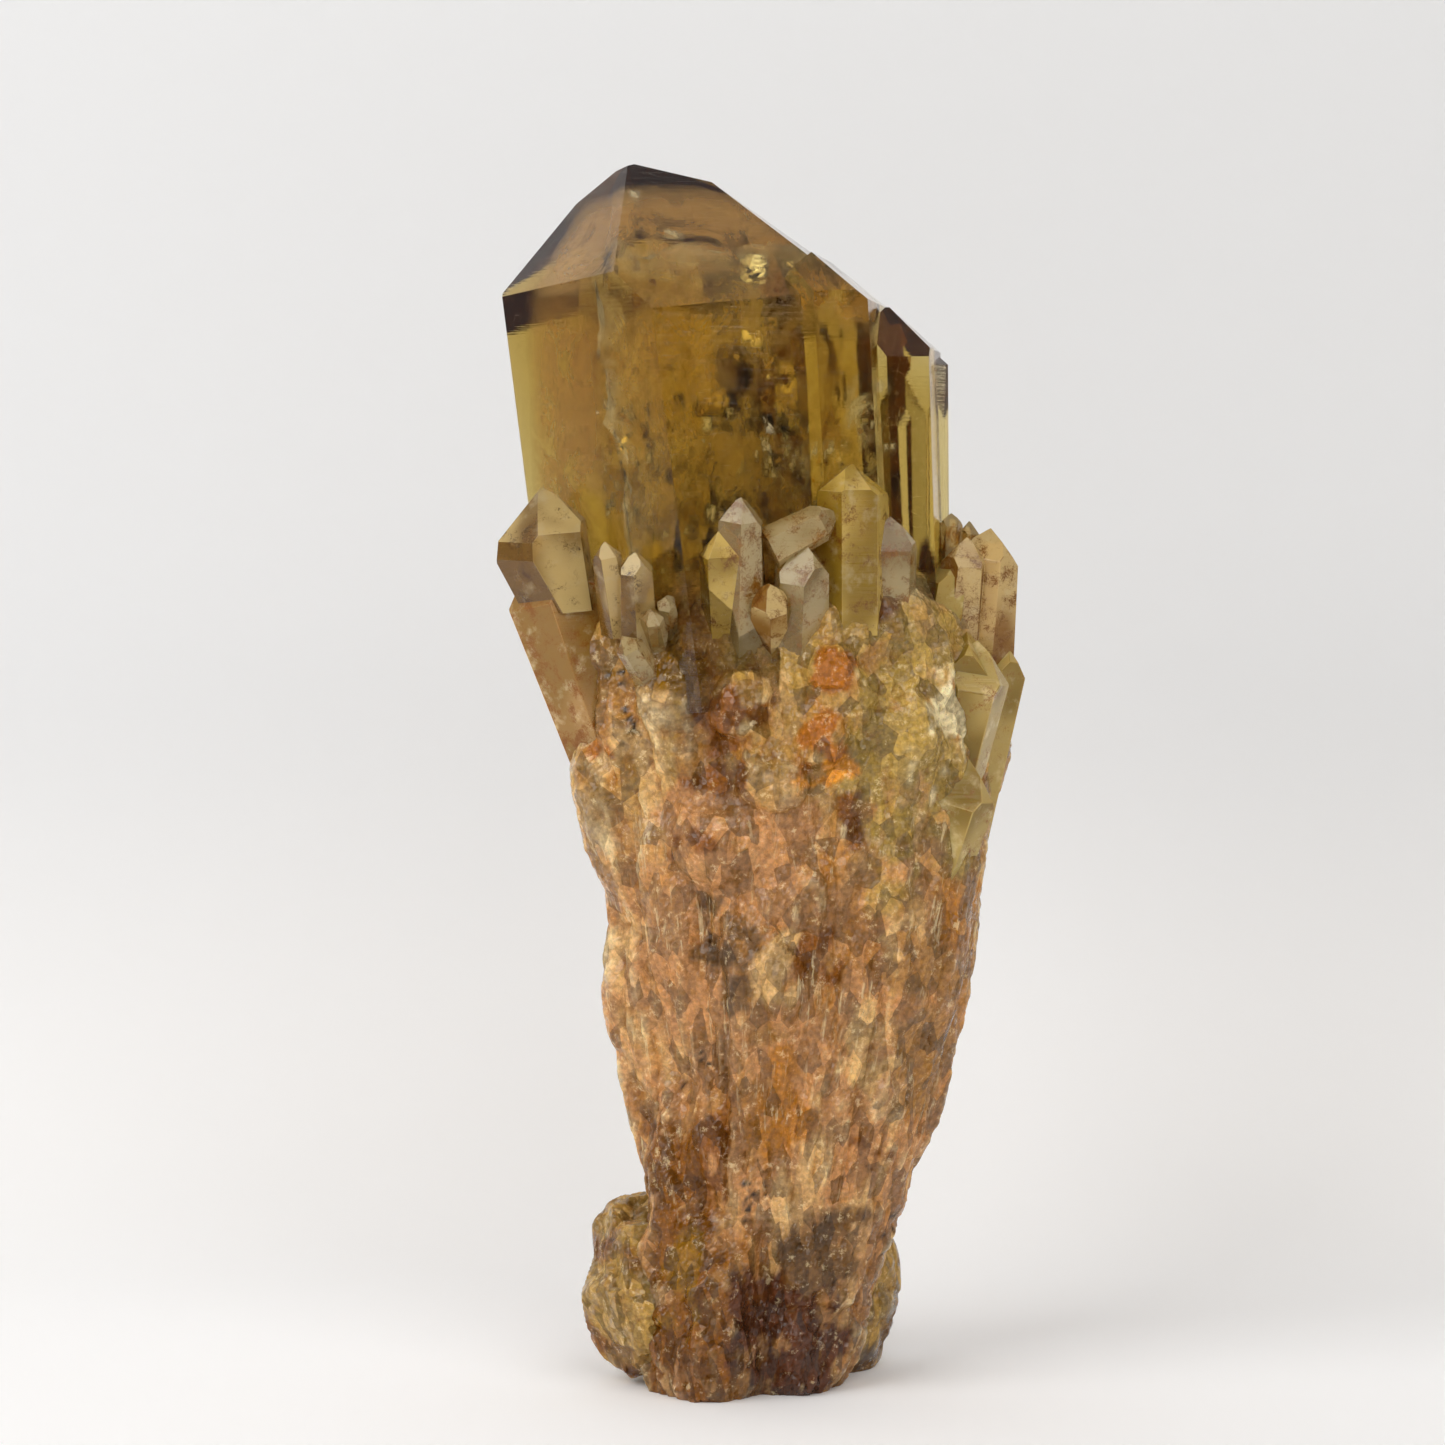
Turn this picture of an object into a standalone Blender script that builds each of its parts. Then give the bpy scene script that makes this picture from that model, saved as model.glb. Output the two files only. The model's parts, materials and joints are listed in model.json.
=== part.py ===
"""Citrine cluster: a smoky golden quartz point on a fanned, iron-stained quartz root.

One natural solid, standing on its flat broken end. The tables hold millimetres, which
become metres when a mesh is made. X runs to the right of the show face, Y away from it
and Z up; the origin is on the resting face, under the middle of the piece.
"""
import math

import bmesh
import bpy
import numpy as np
from mathutils import Vector

MM = 0.001
NAME = "citrine_cluster"

# Quartz habit: six prism faces, and end faces that slope this much from the long axis
FACES = 6
END_SLOPE = 51.8
BLANK_WIDTH = 120.0
BUD_TAPER = 2.5
COLUMN_TAPER = -3.6

# Sections of the root: height, left, right, front and back edge
ROOT_SECTIONS = np.array([
    (0.0, -9.0, 8.0, -8.0, 10.0),
    (12.0, -13.6, 15.6, -14.4, 14.6),
    (24.0, -14.6, 20.6, -16.0, 16.0),
    (36.0, -14.6, 24.0, -17.0, 17.0),
    (50.0, -15.8, 29.6, -18.8, 18.6),
    (60.0, -18.2, 31.6, -20.0, 20.0),
    (74.0, -21.6, 32.4, -20.8, 21.4),
    (88.0, -26.4, 32.8, -21.2, 22.0),
    (98.0, -29.4, 31.4, -21.2, 22.0),
    (106.0, -28.0, 29.0, -19.0, 20.4),
    (113.0, -23.0, 21.5, -14.5, 16.0),
    (119.0, -15.0, 13.0, -9.0, 10.0),
])
ROOT_TOP = 121.0
ROOT_RIM = 106.0
INSET_HEIGHTS = (0.0, 24.0, 50.0, 100.0, 119.0)
INSETS = (0.0, 0.8, 2.2, 2.6, 1.0)
FRONT_FILL = 0.45
ROOT_BASE = 0.0
ROUNDNESS = 2.5
RINGS = 32
STEPS = 48
FLUTES = 12
FLUTE_DEPTH = 0.05
FLUTE_TWIST = 0.006
WOBBLE = 0.022

# Lumps of the broken end, rounded and chipped: centre and radii
LUMPS = {
    "left_lump": ((-16.0, -3.6, 13.0), (8.2, 9.4, 12.6)),
    "front_lump": ((-7.6, -7.2, 11.0), (10.2, 10.6, 16.0)),
    "middle_lump": ((4.2, -4.6, 11.4), (10.0, 9.8, 15.2)),
    "right_lump": ((9.6, 7.0, 11.0), (8.8, 9.2, 14.0)),
    "back_lump": ((-7.6, 7.6, 10.0), (10.4, 10.4, 16.6)),
    "amber_tongue": ((-11.6, -6.8, 27.0), (4.6, 6.8, 15.0)),
    "heart_lump": ((0.5, 0.0, 14.0), (14.5, 13.0, 17.0)),
    "crust_lump": ((0.8, -17.2, 79.0), (5.6, 4.8, 4.6)),
    "crust_lump_low": ((-5.0, -15.8, 72.0), (8.0, 5.2, 7.6)),
    "orange_lump": ((7.4, -17.4, 84.6), (4.6, 4.6, 4.2)),
    "orange_lump_high": ((8.6, -17.6, 93.4), (4.2, 4.4, 3.4)),
    "rust_lump": ((-3.2, -17.2, 89.0), (5.0, 4.8, 5.4)),
    "pink_lump": ((3.2, -14.2, 66.0), (7.4, 6.0, 8.4)),
}
LUMP_SEGMENTS = 14
LUMP_RINGS = 9
LUMP_CHIPS = 11
CHIP_DEPTH = (0.76, 0.94)

# The large crystals. A side is azimuth from the show face, distance from the axis and
# taper; an end face is azimuth, height where it meets the axis over the tip, and slope.
MAIN_CRYSTALS = {
    "main_point": {
        "tip": (-17.4, -2.1, 158.5), "foot": (-8.6, -2.1, 88.0),
        "sides": ((-42, 13.8, 0), (18, 18.6, 0), (78, 23.8, -4.5),
                  (138, 20.0, -7), (198, 20.5, -8), (-102, 17.5, 0)),
        "ends": ((-42, 0.3, 48.3), (18, 0.2, 48.3), (78, 6.0, 43.7), (158, 0.0, 46),
                 (205, 0.5, 46), (-102, 4.0, 46.9), (-110, -0.3, 12)),
    },
    "second_point": {
        "tip": (7.5, -1.0, 149.5), "foot": (11.0, -1.0, 88.0),
        "sides": ((-42, 13.0, 0), (18, 14.4, 0), (78, 7.6, 0),
                  (138, 11.0, 0), (198, 13.0, 0), (-102, 8.0, 0)),
        "ends": ((18, 9.6, 51.8), (78, -2.8, 43), (198, 3.0, 51.8), (138, 1.0, 51.8),
                 (-102, -4.0, 45)),
    },
    "third_point": {
        "tip": (16.8, -4.5, 139.2), "foot": (18.4, -4.5, 88.0),
        "sides": ((-42, 5.2, 0), (18, 5.0, 0), (78, 4.8, 0),
                  (138, 9.0, 0), (198, 12.0, 0), (-102, 6.0, 0)),
        "ends": ((18, 0.2, 51.8), (78, 0.0, 46), (198, 1.0, 51.8), (-42, 2.5, 51.8),
                 (-102, 2.0, 51.8)),
    },
    "edge_point": {
        "tip": (19.2, 1.0, 136.8), "foot": (19.6, 1.0, 88.0),
        "sides": ((-5, 5.0, 0), (55, 4.3, 0), (115, 4.2, 0),
                  (175, 9.0, 0), (235, 5.0, 0), (295, 5.0, 0)),
        "ends": ((-5, 3.0, 51.8), (55, 0.5, 47), (115, 0.5, 47), (175, 1.0, 51.8)),
    },
    "shoulder_point": {
        "tip": (-28.4, -11.5, 116.2), "foot": (-27.6, -9.5, 101.0),
        "sides": ((-40, 4.6, 6), (20, 4.6, 6), (80, 4.9, 6),
                  (140, 5.0, 3), (200, 5.0, 3), (-100, 4.3, 8),
                  (-100, 9.4, -23), (-40, 8.6, -20)),
        "ends": ((-40, 0.4, 51.8), (20, 0.0, 46), (80, 1.0, 44), (140, 0.5, 50),
                 (200, 0.5, 50), (-100, 0.0, 50)),
    },
    "yellow_point": {
        "tip": (10.8, -16.4, 118.6), "foot": (10.6, -14.0, 98.0),
        "sides": ((-42, 3.8, 0), (12, 3.6, 1), (72, 4.0, 1),
                  (132, 5.0, 1), (192, 5.0, 1), (-102, 3.8, 1)),
        "ends": ((-42, 0.5, 40), (12, 0.0, 34), (72, 0.5, 42), (132, 1.0, 44),
                 (192, 1.0, 44), (-102, 0.5, 42)),
    },
}

# Smaller crystals that stand free: tip, foot, radius, turn
SMALL_CRYSTALS = {
    "shoulder_bud": ((-20.0, -19.4, 109.3), (-18.2, -15.0, 98.0), 1.5, 10),
    "shoulder_bud_low": ((-16.1, -21.0, 108.0), (-15.6, -16.0, 95.0), 1.8, -30),
    "seed_left": ((-17.8, -21.4, 97.6), (-13.0, -15.0, 90.0), 1.5, 20),
    "seed_middle": ((-14.2, -22.0, 100.8), (-13.2, -15.0, 95.0), 1.2, 5),
    "seed_right": ((-12.4, -21.6, 102.4), (-11.6, -15.0, 97.0), 1.2, -20),
    "clear_point": ((-3.0, -21.0, 114.8), (-3.3, -15.0, 94.0), 2.4, -35),
    "green_point": ((-5.0, -20.4, 111.4), (-4.0, -14.0, 94.0), 2.9, 0),
    "tilted_plate": ((9.2, -18.4, 112.8), (0.6, -19.4, 108.4), 2.0, 20),
    "plate_stem": ((4.8, -20.2, 109.4), (4.2, -13.5, 94.0), 3.2, -20),
    "orange_knob": ((0.6, -22.0, 104.0), (0.8, -14.0, 96.0), 2.2, 25),
    "pale_fin": ((15.8, -15.0, 112.6), (14.6, -9.0, 94.0), 3.2, 12),
    "edge_point_right": ((29.3, -5.0, 111.4), (27.6, -2.0, 90.0), 3.2, -22),
    "brown_point": ((26.1, -6.8, 110.2), (24.6, -3.0, 92.0), 2.5, 10),
    "left_fin": ((24.4, -2.0, 113.4), (24.4, -1.0, 102.0), 1.3, 0),
    "right_fin": ((26.8, -1.0, 112.4), (26.2, 0.0, 101.0), 1.4, 25),
}

# Columns of the fan that end as crystals: tip, foot, radius, turn
COLUMNS = {
    "left_column": ((-28.2, -9.4, 110.0), (-17.0, -5.0, 74.0), 6.8, -40),
    "left_rib": ((-21.8, -8.0, 88.0), (-8.0, -3.0, 34.0), 6.6, 5),
    "olive_face": ((-12.6, -16.4, 99.0), (-4.0, -7.0, 46.0), 6.4, -25),
    "broad_column": ((9.6, -15.8, 99.0), (5.6, -7.0, 46.0), 7.0, -20),
    "pale_column": ((19.4, -15.8, 93.7), (10.6, -8.0, 50.0), 6.0, -30),
    "right_column": ((30.2, -3.0, 98.0), (24.0, -1.0, 56.0), 4.5, -20),
    "olive_column": ((27.4, -8.2, 97.0), (19.0, -3.0, 52.0), 4.8, 5),
    "yellow_tip": ((26.0, -11.8, 82.0), (15.0, -5.0, 42.0), 4.4, -10),
    "right_edge": ((30.8, 4.0, 90.0), (15.0, 2.0, 34.0), 5.4, 10),
    "rib_bump": ((0.4, -18.6, 61.5), (2.2, -7.0, 20.0), 4.8, -30),
    "glassy_column": ((16.4, -14.8, 63.0), (5.0, -4.0, 14.0), 5.0, -25),
}

# Fused ribs, whose long ends run out into the root: top, foot, radius, turn
RIB_SLOPE = 76.0
RIBS = {
    "left_slope": ((-21.4, -12.4, 104.0), (-8.0, -6.6, 44.0), 5.8, -10),
    "middle_rib": ((-1.0, -17.4, 104.0), (0.0, -9.0, 40.0), 6.8, 15),
    "right_face": ((21.0, -15.0, 100.0), (9.0, -7.0, 30.0), 6.4, -20),
    "pink_ridge": ((-16.0, -14.6, 80.0), (0.0, -9.4, 12.0), 5.2, 0),
    "left_slab": ((-19.4, -6.6, 74.0), (-7.4, -3.0, 6.0), 6.6, -40),
    "cream_rib": ((14.0, -16.4, 68.0), (5.6, -8.4, 10.0), 5.4, 10),
    "pink_rib": ((-4.6, -17.2, 76.0), (0.6, -9.4, 10.0), 5.4, 22),
    "base_ridge": ((-7.0, -13.0, 50.0), (-2.0, -6.4, 4.0), 5.8, 20),
    "base_shoulder": ((7.0, -13.6, 48.0), (5.0, -6.4, 4.0), 5.8, -10),
}

# Columns, ribs and buds spaced round the fan. A tier is a count, the first and last
# angle, the lowest and highest tip, the shortest and longest length, how deep the tips
# lie as a share of the radius, and the slope of the ends.
BACK_START = 66.0
BACK_END = 288.0
RIB_START = 14.0
RIB_END = 332.0
FAN_TIERS = (
    (12, BACK_START, BACK_END, 97.0, 109.0, 44.0, 56.0, 0.55, END_SLOPE),
    (11, BACK_START, BACK_END, 78.0, 98.0, 40.0, 50.0, 0.60, 70.0),
    (15, RIB_START, RIB_END, 72.0, 90.0, 26.0, 34.0, 0.42, RIB_SLOPE),
    (15, RIB_START, RIB_END, 50.0, 70.0, 26.0, 34.0, 0.42, RIB_SLOPE),
    (13, RIB_START, RIB_END, 32.0, 50.0, 24.0, 30.0, 0.42, RIB_SLOPE),
)
FAN_RADIUS = (4.0, 5.8)
FOOT_BURY = 1.3
BUDS = 12
BUD_RADIUS = (1.3, 2.6)
BUD_LENGTH = (9.0, 12.0)
BUD_TIPS = (105.0, 113.0)
SEED = 11

# Recess under the crust on the show face: middle, size and turn of the cutter
WINDOW_MIDDLE = (-4.0, -21.4, 58.5)
WINDOW_SIZE = (6.6, 5.0, 12.0)
WINDOW_TURN = (4.0, 6.0, -8.0)

COLOUR = (0.42, 0.24, 0.07, 1.0)
ROUGHNESS = 0.28


def clear_scene():
    for item in list(bpy.data.objects):
        bpy.data.objects.remove(item, do_unlink=True)


def new_collection(name):
    collection = bpy.data.collections.new(name)
    bpy.context.scene.collection.children.link(collection)
    return collection


def add_object(name, shape, collection):
    mesh = bpy.data.meshes.new(name)
    shape.to_mesh(mesh)
    shape.free()
    item = bpy.data.objects.new(name, mesh)
    collection.objects.link(item)
    return item


def root_section(height):
    """Left, right, front and back edge of the root at a height, by straight blends."""
    heights = ROOT_SECTIONS[:, 0]
    return [np.interp(height, heights, ROOT_SECTIONS[:, k]) for k in range(1, 5)]


def fan_point(angle, height, inset=0.0):
    """A point of the fan's side: a rounded oblong, fluted by the columns it is made of.

    The angle runs from the show face towards the right side. The oblong is a
    superellipse, and its radius is changed by sharp ridges and by slow waves. The inset
    takes the root in from the outline that its columns reach.
    """
    left, right, front, back = root_section(height)
    across = np.sin(angle)
    deep = -np.cos(angle)
    spread = np.abs(across) ** ROUNDNESS + np.abs(deep) ** ROUNDNESS
    reach = spread ** (-1.0 / ROUNDNESS)
    ridge = 1.0 - np.abs(np.sin(0.5 * FLUTES * (angle + FLUTE_TWIST * height)))
    slow = np.sin(2.0 * angle + 0.09 * height) + np.sin(5.0 * angle - 0.13 * height)
    reach = reach * (1.0 - FLUTE_DEPTH * ridge + WOBBLE * (0.5 * slow - 1.0))
    x = 0.5 * (left + right) + (0.5 * (right - left) - inset) * reach * across
    y = 0.5 * (front + back) + (0.5 * (back - front) - inset) * reach * deep
    return x, y


def make_root(collection):
    """The root: fluted rings from the flat broken end up to a low dome inside the points."""
    top = ROOT_SECTIONS[-1, 0]
    heights = np.linspace(ROOT_BASE, top, RINGS)
    turns = np.linspace(0.0, 2.0 * math.pi, STEPS, endpoint=False)
    angle, height = np.meshgrid(turns, heights)
    filled = FRONT_FILL * np.clip(np.cos(angle), 0.0, 1.0)
    inset = np.interp(height, INSET_HEIGHTS, INSETS) * (1.0 - filled)
    x, y = fan_point(angle, height, inset)
    shape = bmesh.new()
    rings = []
    for row in range(RINGS):
        ring = []
        for k in range(STEPS):
            place = Vector((x[row, k], y[row, k], heights[row])) * MM
            ring.append(shape.verts.new(place))
        rings.append(ring)
    for low, high in zip(rings, rings[1:]):
        for k in range(STEPS):
            after = (k + 1) % STEPS
            shape.faces.new((low[k], low[after], high[after], high[k]))
    shape.faces.new(tuple(reversed(rings[0])))
    peak = shape.verts.new(Vector((x[-1].mean(), y[-1].mean(), ROOT_TOP)) * MM)
    for k in range(STEPS):
        shape.faces.new((rings[-1][k], rings[-1][(k + 1) % STEPS], peak))
    bmesh.ops.recalc_face_normals(shape, faces=shape.faces)
    return add_object(NAME, shape, collection)


def keep_below(shape, point, normal):
    """Cuts away what is past a plane and closes the cut."""
    parts = shape.verts[:] + shape.edges[:] + shape.faces[:]
    cut = bmesh.ops.bisect_plane(shape, geom=parts, plane_co=point, plane_no=normal,
                                 clear_outer=True)
    rim = [edge for edge in cut["geom_cut"] if isinstance(edge, bmesh.types.BMEdge)]
    if rim:
        bmesh.ops.holes_fill(shape, edges=rim, sides=0)


def make_crystal(name, tip, foot, sides, ends, collection):
    """A quartz crystal: a cylinder blank cut by its prism faces and its end faces."""
    tip = Vector(tip) * MM
    foot = Vector(foot) * MM
    axis = (tip - foot).normalized()
    right = (Vector((1.0, 0.0, 0.0)) - axis * axis.x).normalized()
    away = axis.cross(right)
    shape = bmesh.new()
    width = BLANK_WIDTH * MM
    bmesh.ops.create_cone(shape, cap_ends=True, segments=8, radius1=width, radius2=width,
                          depth=2.0 * width)
    turn = axis.to_track_quat("Z", "Y").to_matrix().to_4x4()
    bmesh.ops.transform(shape, matrix=turn, verts=shape.verts)
    bmesh.ops.translate(shape, vec=foot + axis * width, verts=shape.verts)
    for azimuth, distance, taper in sides:
        out = right * math.sin(math.radians(azimuth)) - away * math.cos(math.radians(azimuth))
        lean = math.radians(taper)
        normal = out * math.cos(lean) + axis * math.sin(lean)
        keep_below(shape, tip + out * distance * MM, normal)
    for azimuth, height, slope in ends:
        out = right * math.sin(math.radians(azimuth)) - away * math.cos(math.radians(azimuth))
        lean = math.radians(slope)
        normal = out * math.sin(lean) + axis * math.cos(lean)
        keep_below(shape, tip + axis * height * MM, normal)
    bmesh.ops.recalc_face_normals(shape, faces=shape.faces)
    return add_object(name, shape, collection)


def regular_crystal(name, tip, foot, radius, turn, taper, slope, random, collection):
    """A small crystal with six nearly equal sides and three long and three short ends."""
    sides = []
    ends = []
    for k in range(FACES):
        azimuth = turn + 60.0 * k
        sides.append((azimuth, radius * random.uniform(0.86, 1.12), taper))
        ends.append((azimuth, radius * random.uniform(0.1, 0.5) * (k % 2), slope))
    return make_crystal(name, tip, foot, sides, ends, collection)


def fan_place(angle, height, depth):
    """A point at a height of the root, a depth in from its side."""
    out = np.array((math.sin(angle), -math.cos(angle), 0.0))
    return np.array((*fan_point(angle, height), height)) - out * depth


def fan_crystals(random, collection):
    """Tiers of columns round the sides and the back, and the buds that stand on the rim."""
    for tier, row in enumerate(FAN_TIERS):
        count, first, last, lowest, highest, shortest, longest, bury, slope = row
        for k, degrees in enumerate(np.linspace(first, last, count)):
            angle = math.radians(degrees + random.uniform(-5.0, 5.0))
            radius = random.uniform(*FAN_RADIUS)
            high = random.uniform(lowest, highest)
            low = max(high - random.uniform(shortest, longest), ROOT_BASE + 2.0)
            rim = min(high, ROOT_RIM)
            tip = fan_place(angle, rim, radius * bury)
            tip[2] = high
            foot = fan_place(angle, low, radius * FOOT_BURY)
            regular_crystal(f"fan_{tier}_{k}", tip, foot, radius, degrees, COLUMN_TAPER,
                            slope, random, collection)
    for k, degrees in enumerate(np.linspace(BACK_START, BACK_END, BUDS)):
        angle = math.radians(degrees + random.uniform(-6.0, 6.0))
        radius = random.uniform(*BUD_RADIUS)
        tip = fan_place(angle, ROOT_RIM, radius)
        tip[2] = random.uniform(*BUD_TIPS)
        foot = fan_place(angle, ROOT_RIM, radius + 1.5)
        foot[2] = tip[2] - random.uniform(*BUD_LENGTH)
        regular_crystal(f"bud_{k}", tip, foot, radius, degrees, BUD_TAPER, END_SLOPE,
                        random, collection)


def make_lump(name, centre, radii, random, collection):
    """A rounded lump of the broken end, chipped by flat breaks and cut flat where it rests."""
    shape = bmesh.new()
    bmesh.ops.create_uvsphere(shape, u_segments=LUMP_SEGMENTS, v_segments=LUMP_RINGS, radius=MM)
    for chip in range(LUMP_CHIPS):
        normal = Vector(random.normal(size=3)).normalized()
        keep_below(shape, normal * random.uniform(*CHIP_DEPTH) * MM, normal)
    bmesh.ops.scale(shape, vec=Vector(radii), verts=shape.verts)
    bmesh.ops.translate(shape, vec=Vector(centre) * MM, verts=shape.verts)
    keep_below(shape, Vector((0.0, 0.0, ROOT_BASE * MM)), Vector((0.0, 0.0, -1.0)))
    bmesh.ops.recalc_face_normals(shape, faces=shape.faces)
    return add_object(name, shape, collection)


def make_window(collection):
    """The block that is taken out of the show face for the glassy recess."""
    bpy.ops.mesh.primitive_cube_add(size=MM)
    block = bpy.context.object
    block.name = "window_cutter"
    block.scale = WINDOW_SIZE
    block.rotation_euler = [math.radians(turn) for turn in WINDOW_TURN]
    block.location = Vector(WINDOW_MIDDLE) * MM
    for owner in list(block.users_collection):
        owner.objects.unlink(block)
    collection.objects.link(block)
    return block


def quartz_material():
    material = bpy.data.materials.new("stained_quartz")
    material.use_nodes = True
    shader = material.node_tree.nodes["Principled BSDF"]
    shader.inputs["Base Color"].default_value = COLOUR
    shader.inputs["Roughness"].default_value = ROUGHNESS
    shader.inputs["Metallic"].default_value = 0.0
    return material


def join_growth(root, grown, window):
    """Crystals, columns and lumps are one solid with the root, less the recess."""
    union = root.modifiers.new("grown_together", "BOOLEAN")
    union.operation = "UNION"
    union.solver = "EXACT"
    union.operand_type = "COLLECTION"
    union.collection = grown
    recess = root.modifiers.new("recess", "BOOLEAN")
    recess.operation = "DIFFERENCE"
    recess.solver = "EXACT"
    recess.object = window
    for item in [*grown.objects, window]:
        item.hide_render = True
        item.display_type = "WIRE"


def main():
    clear_scene()
    random = np.random.default_rng(SEED)
    cluster = new_collection("citrine_cluster_parts")
    grown = new_collection("grown_pieces")
    cutters = new_collection("cutters")
    root = make_root(cluster)
    for name, crystal in MAIN_CRYSTALS.items():
        make_crystal(name, crystal["tip"], crystal["foot"], crystal["sides"],
                     crystal["ends"], grown)
    for name, (tip, foot, radius, turn) in SMALL_CRYSTALS.items():
        regular_crystal(name, tip, foot, radius, turn, BUD_TAPER, END_SLOPE, random, grown)
    for name, (tip, foot, radius, turn) in COLUMNS.items():
        regular_crystal(name, tip, foot, radius, turn, COLUMN_TAPER, END_SLOPE, random, grown)
    for name, (tip, foot, radius, turn) in RIBS.items():
        regular_crystal(name, tip, foot, radius, turn, COLUMN_TAPER, RIB_SLOPE, random, grown)
    fan_crystals(random, grown)
    for name, (centre, radii) in LUMPS.items():
        make_lump(name, centre, radii, random, grown)
    join_growth(root, grown, make_window(cutters))
    root.data.materials.append(quartz_material())


main()
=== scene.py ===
"""Looks of the citrine cluster: clear smoky gold points on a milky, iron-stained fan.

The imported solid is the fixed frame. The fan and the broken base are surfaces worked out
with numpy: rays leave a spine inside the stone, and each is as long as the way out of the
crystals that the stone is made of. The clear points and the free crystals are cut by
planes, as quartz grows. Tables hold millimetres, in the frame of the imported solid: X to
the right of the show face, Y away from it, Z up, and the origin under the resting face.
"""
import itertools
import json
import math

import bpy
import numpy as np
from mathutils import Matrix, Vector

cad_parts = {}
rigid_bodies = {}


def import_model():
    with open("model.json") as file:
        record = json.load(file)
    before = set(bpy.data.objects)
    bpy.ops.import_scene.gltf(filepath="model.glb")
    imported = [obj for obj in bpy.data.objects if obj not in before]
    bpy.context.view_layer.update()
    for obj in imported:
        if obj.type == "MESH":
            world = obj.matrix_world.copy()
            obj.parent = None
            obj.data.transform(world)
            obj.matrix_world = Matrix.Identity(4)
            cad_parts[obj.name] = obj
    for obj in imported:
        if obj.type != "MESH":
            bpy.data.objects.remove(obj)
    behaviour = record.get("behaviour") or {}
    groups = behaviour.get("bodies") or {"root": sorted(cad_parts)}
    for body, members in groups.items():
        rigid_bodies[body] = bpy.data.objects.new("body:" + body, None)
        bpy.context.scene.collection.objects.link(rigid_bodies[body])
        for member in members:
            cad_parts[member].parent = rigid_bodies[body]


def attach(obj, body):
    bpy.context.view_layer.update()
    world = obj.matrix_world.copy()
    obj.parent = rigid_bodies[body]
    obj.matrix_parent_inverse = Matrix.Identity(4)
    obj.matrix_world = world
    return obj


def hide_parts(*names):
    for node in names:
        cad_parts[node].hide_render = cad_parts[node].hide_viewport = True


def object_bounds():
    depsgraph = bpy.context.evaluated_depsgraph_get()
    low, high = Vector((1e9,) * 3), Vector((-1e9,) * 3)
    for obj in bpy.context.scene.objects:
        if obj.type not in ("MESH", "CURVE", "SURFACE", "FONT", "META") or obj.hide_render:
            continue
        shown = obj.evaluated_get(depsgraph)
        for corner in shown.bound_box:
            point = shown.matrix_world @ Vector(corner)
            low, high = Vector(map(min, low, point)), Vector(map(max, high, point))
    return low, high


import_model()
CAD_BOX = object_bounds()

MM = 0.001
NODE = "citrine_cluster"
TINY = 1e-9
FULL_TURN = 2.0 * math.pi

# Quartz habit: six prism faces, and end faces that slope this much from the long axis
PRISM_FACES = 6
END_SLOPE = 51.8
RIB_SLOPE = 76.0
BUD_TAPER = 2.5
COLUMN_TAPER = -3.6

# Sections of the root: height, left, right, front and back edge
ROOT_SECTIONS = np.array([
    (0.0, -9.0, 8.0, -8.0, 10.0),
    (12.0, -13.6, 15.6, -14.4, 14.6),
    (24.0, -14.6, 20.6, -16.0, 16.0),
    (36.0, -14.6, 24.0, -17.0, 17.0),
    (50.0, -15.8, 29.6, -18.8, 18.6),
    (60.0, -18.2, 31.6, -20.0, 20.0),
    (74.0, -21.6, 32.4, -20.8, 21.4),
    (88.0, -26.4, 32.8, -21.2, 22.0),
    (98.0, -29.4, 31.4, -21.2, 22.0),
    (106.0, -28.0, 29.0, -19.0, 20.4),
    (113.0, -23.0, 21.5, -14.5, 16.0),
    (119.0, -15.0, 13.0, -9.0, 10.0),
])
ROOT_TOP = 121.0
ROOT_RIM = 106.0
DOME_START = 100.0
DOME_TOP = 116.0
INSET_HEIGHTS = (0.0, 24.0, 50.0, 100.0, 119.0)
INSETS = (0.0, 0.8, 2.2, 2.6, 1.0)
FRONT_FILL = 0.45
ROUNDNESS = 2.5
FLUTES = 12
FLUTE_DEPTH = 0.05
FLUTE_TWIST = 0.006
WOBBLE = 0.022

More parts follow.
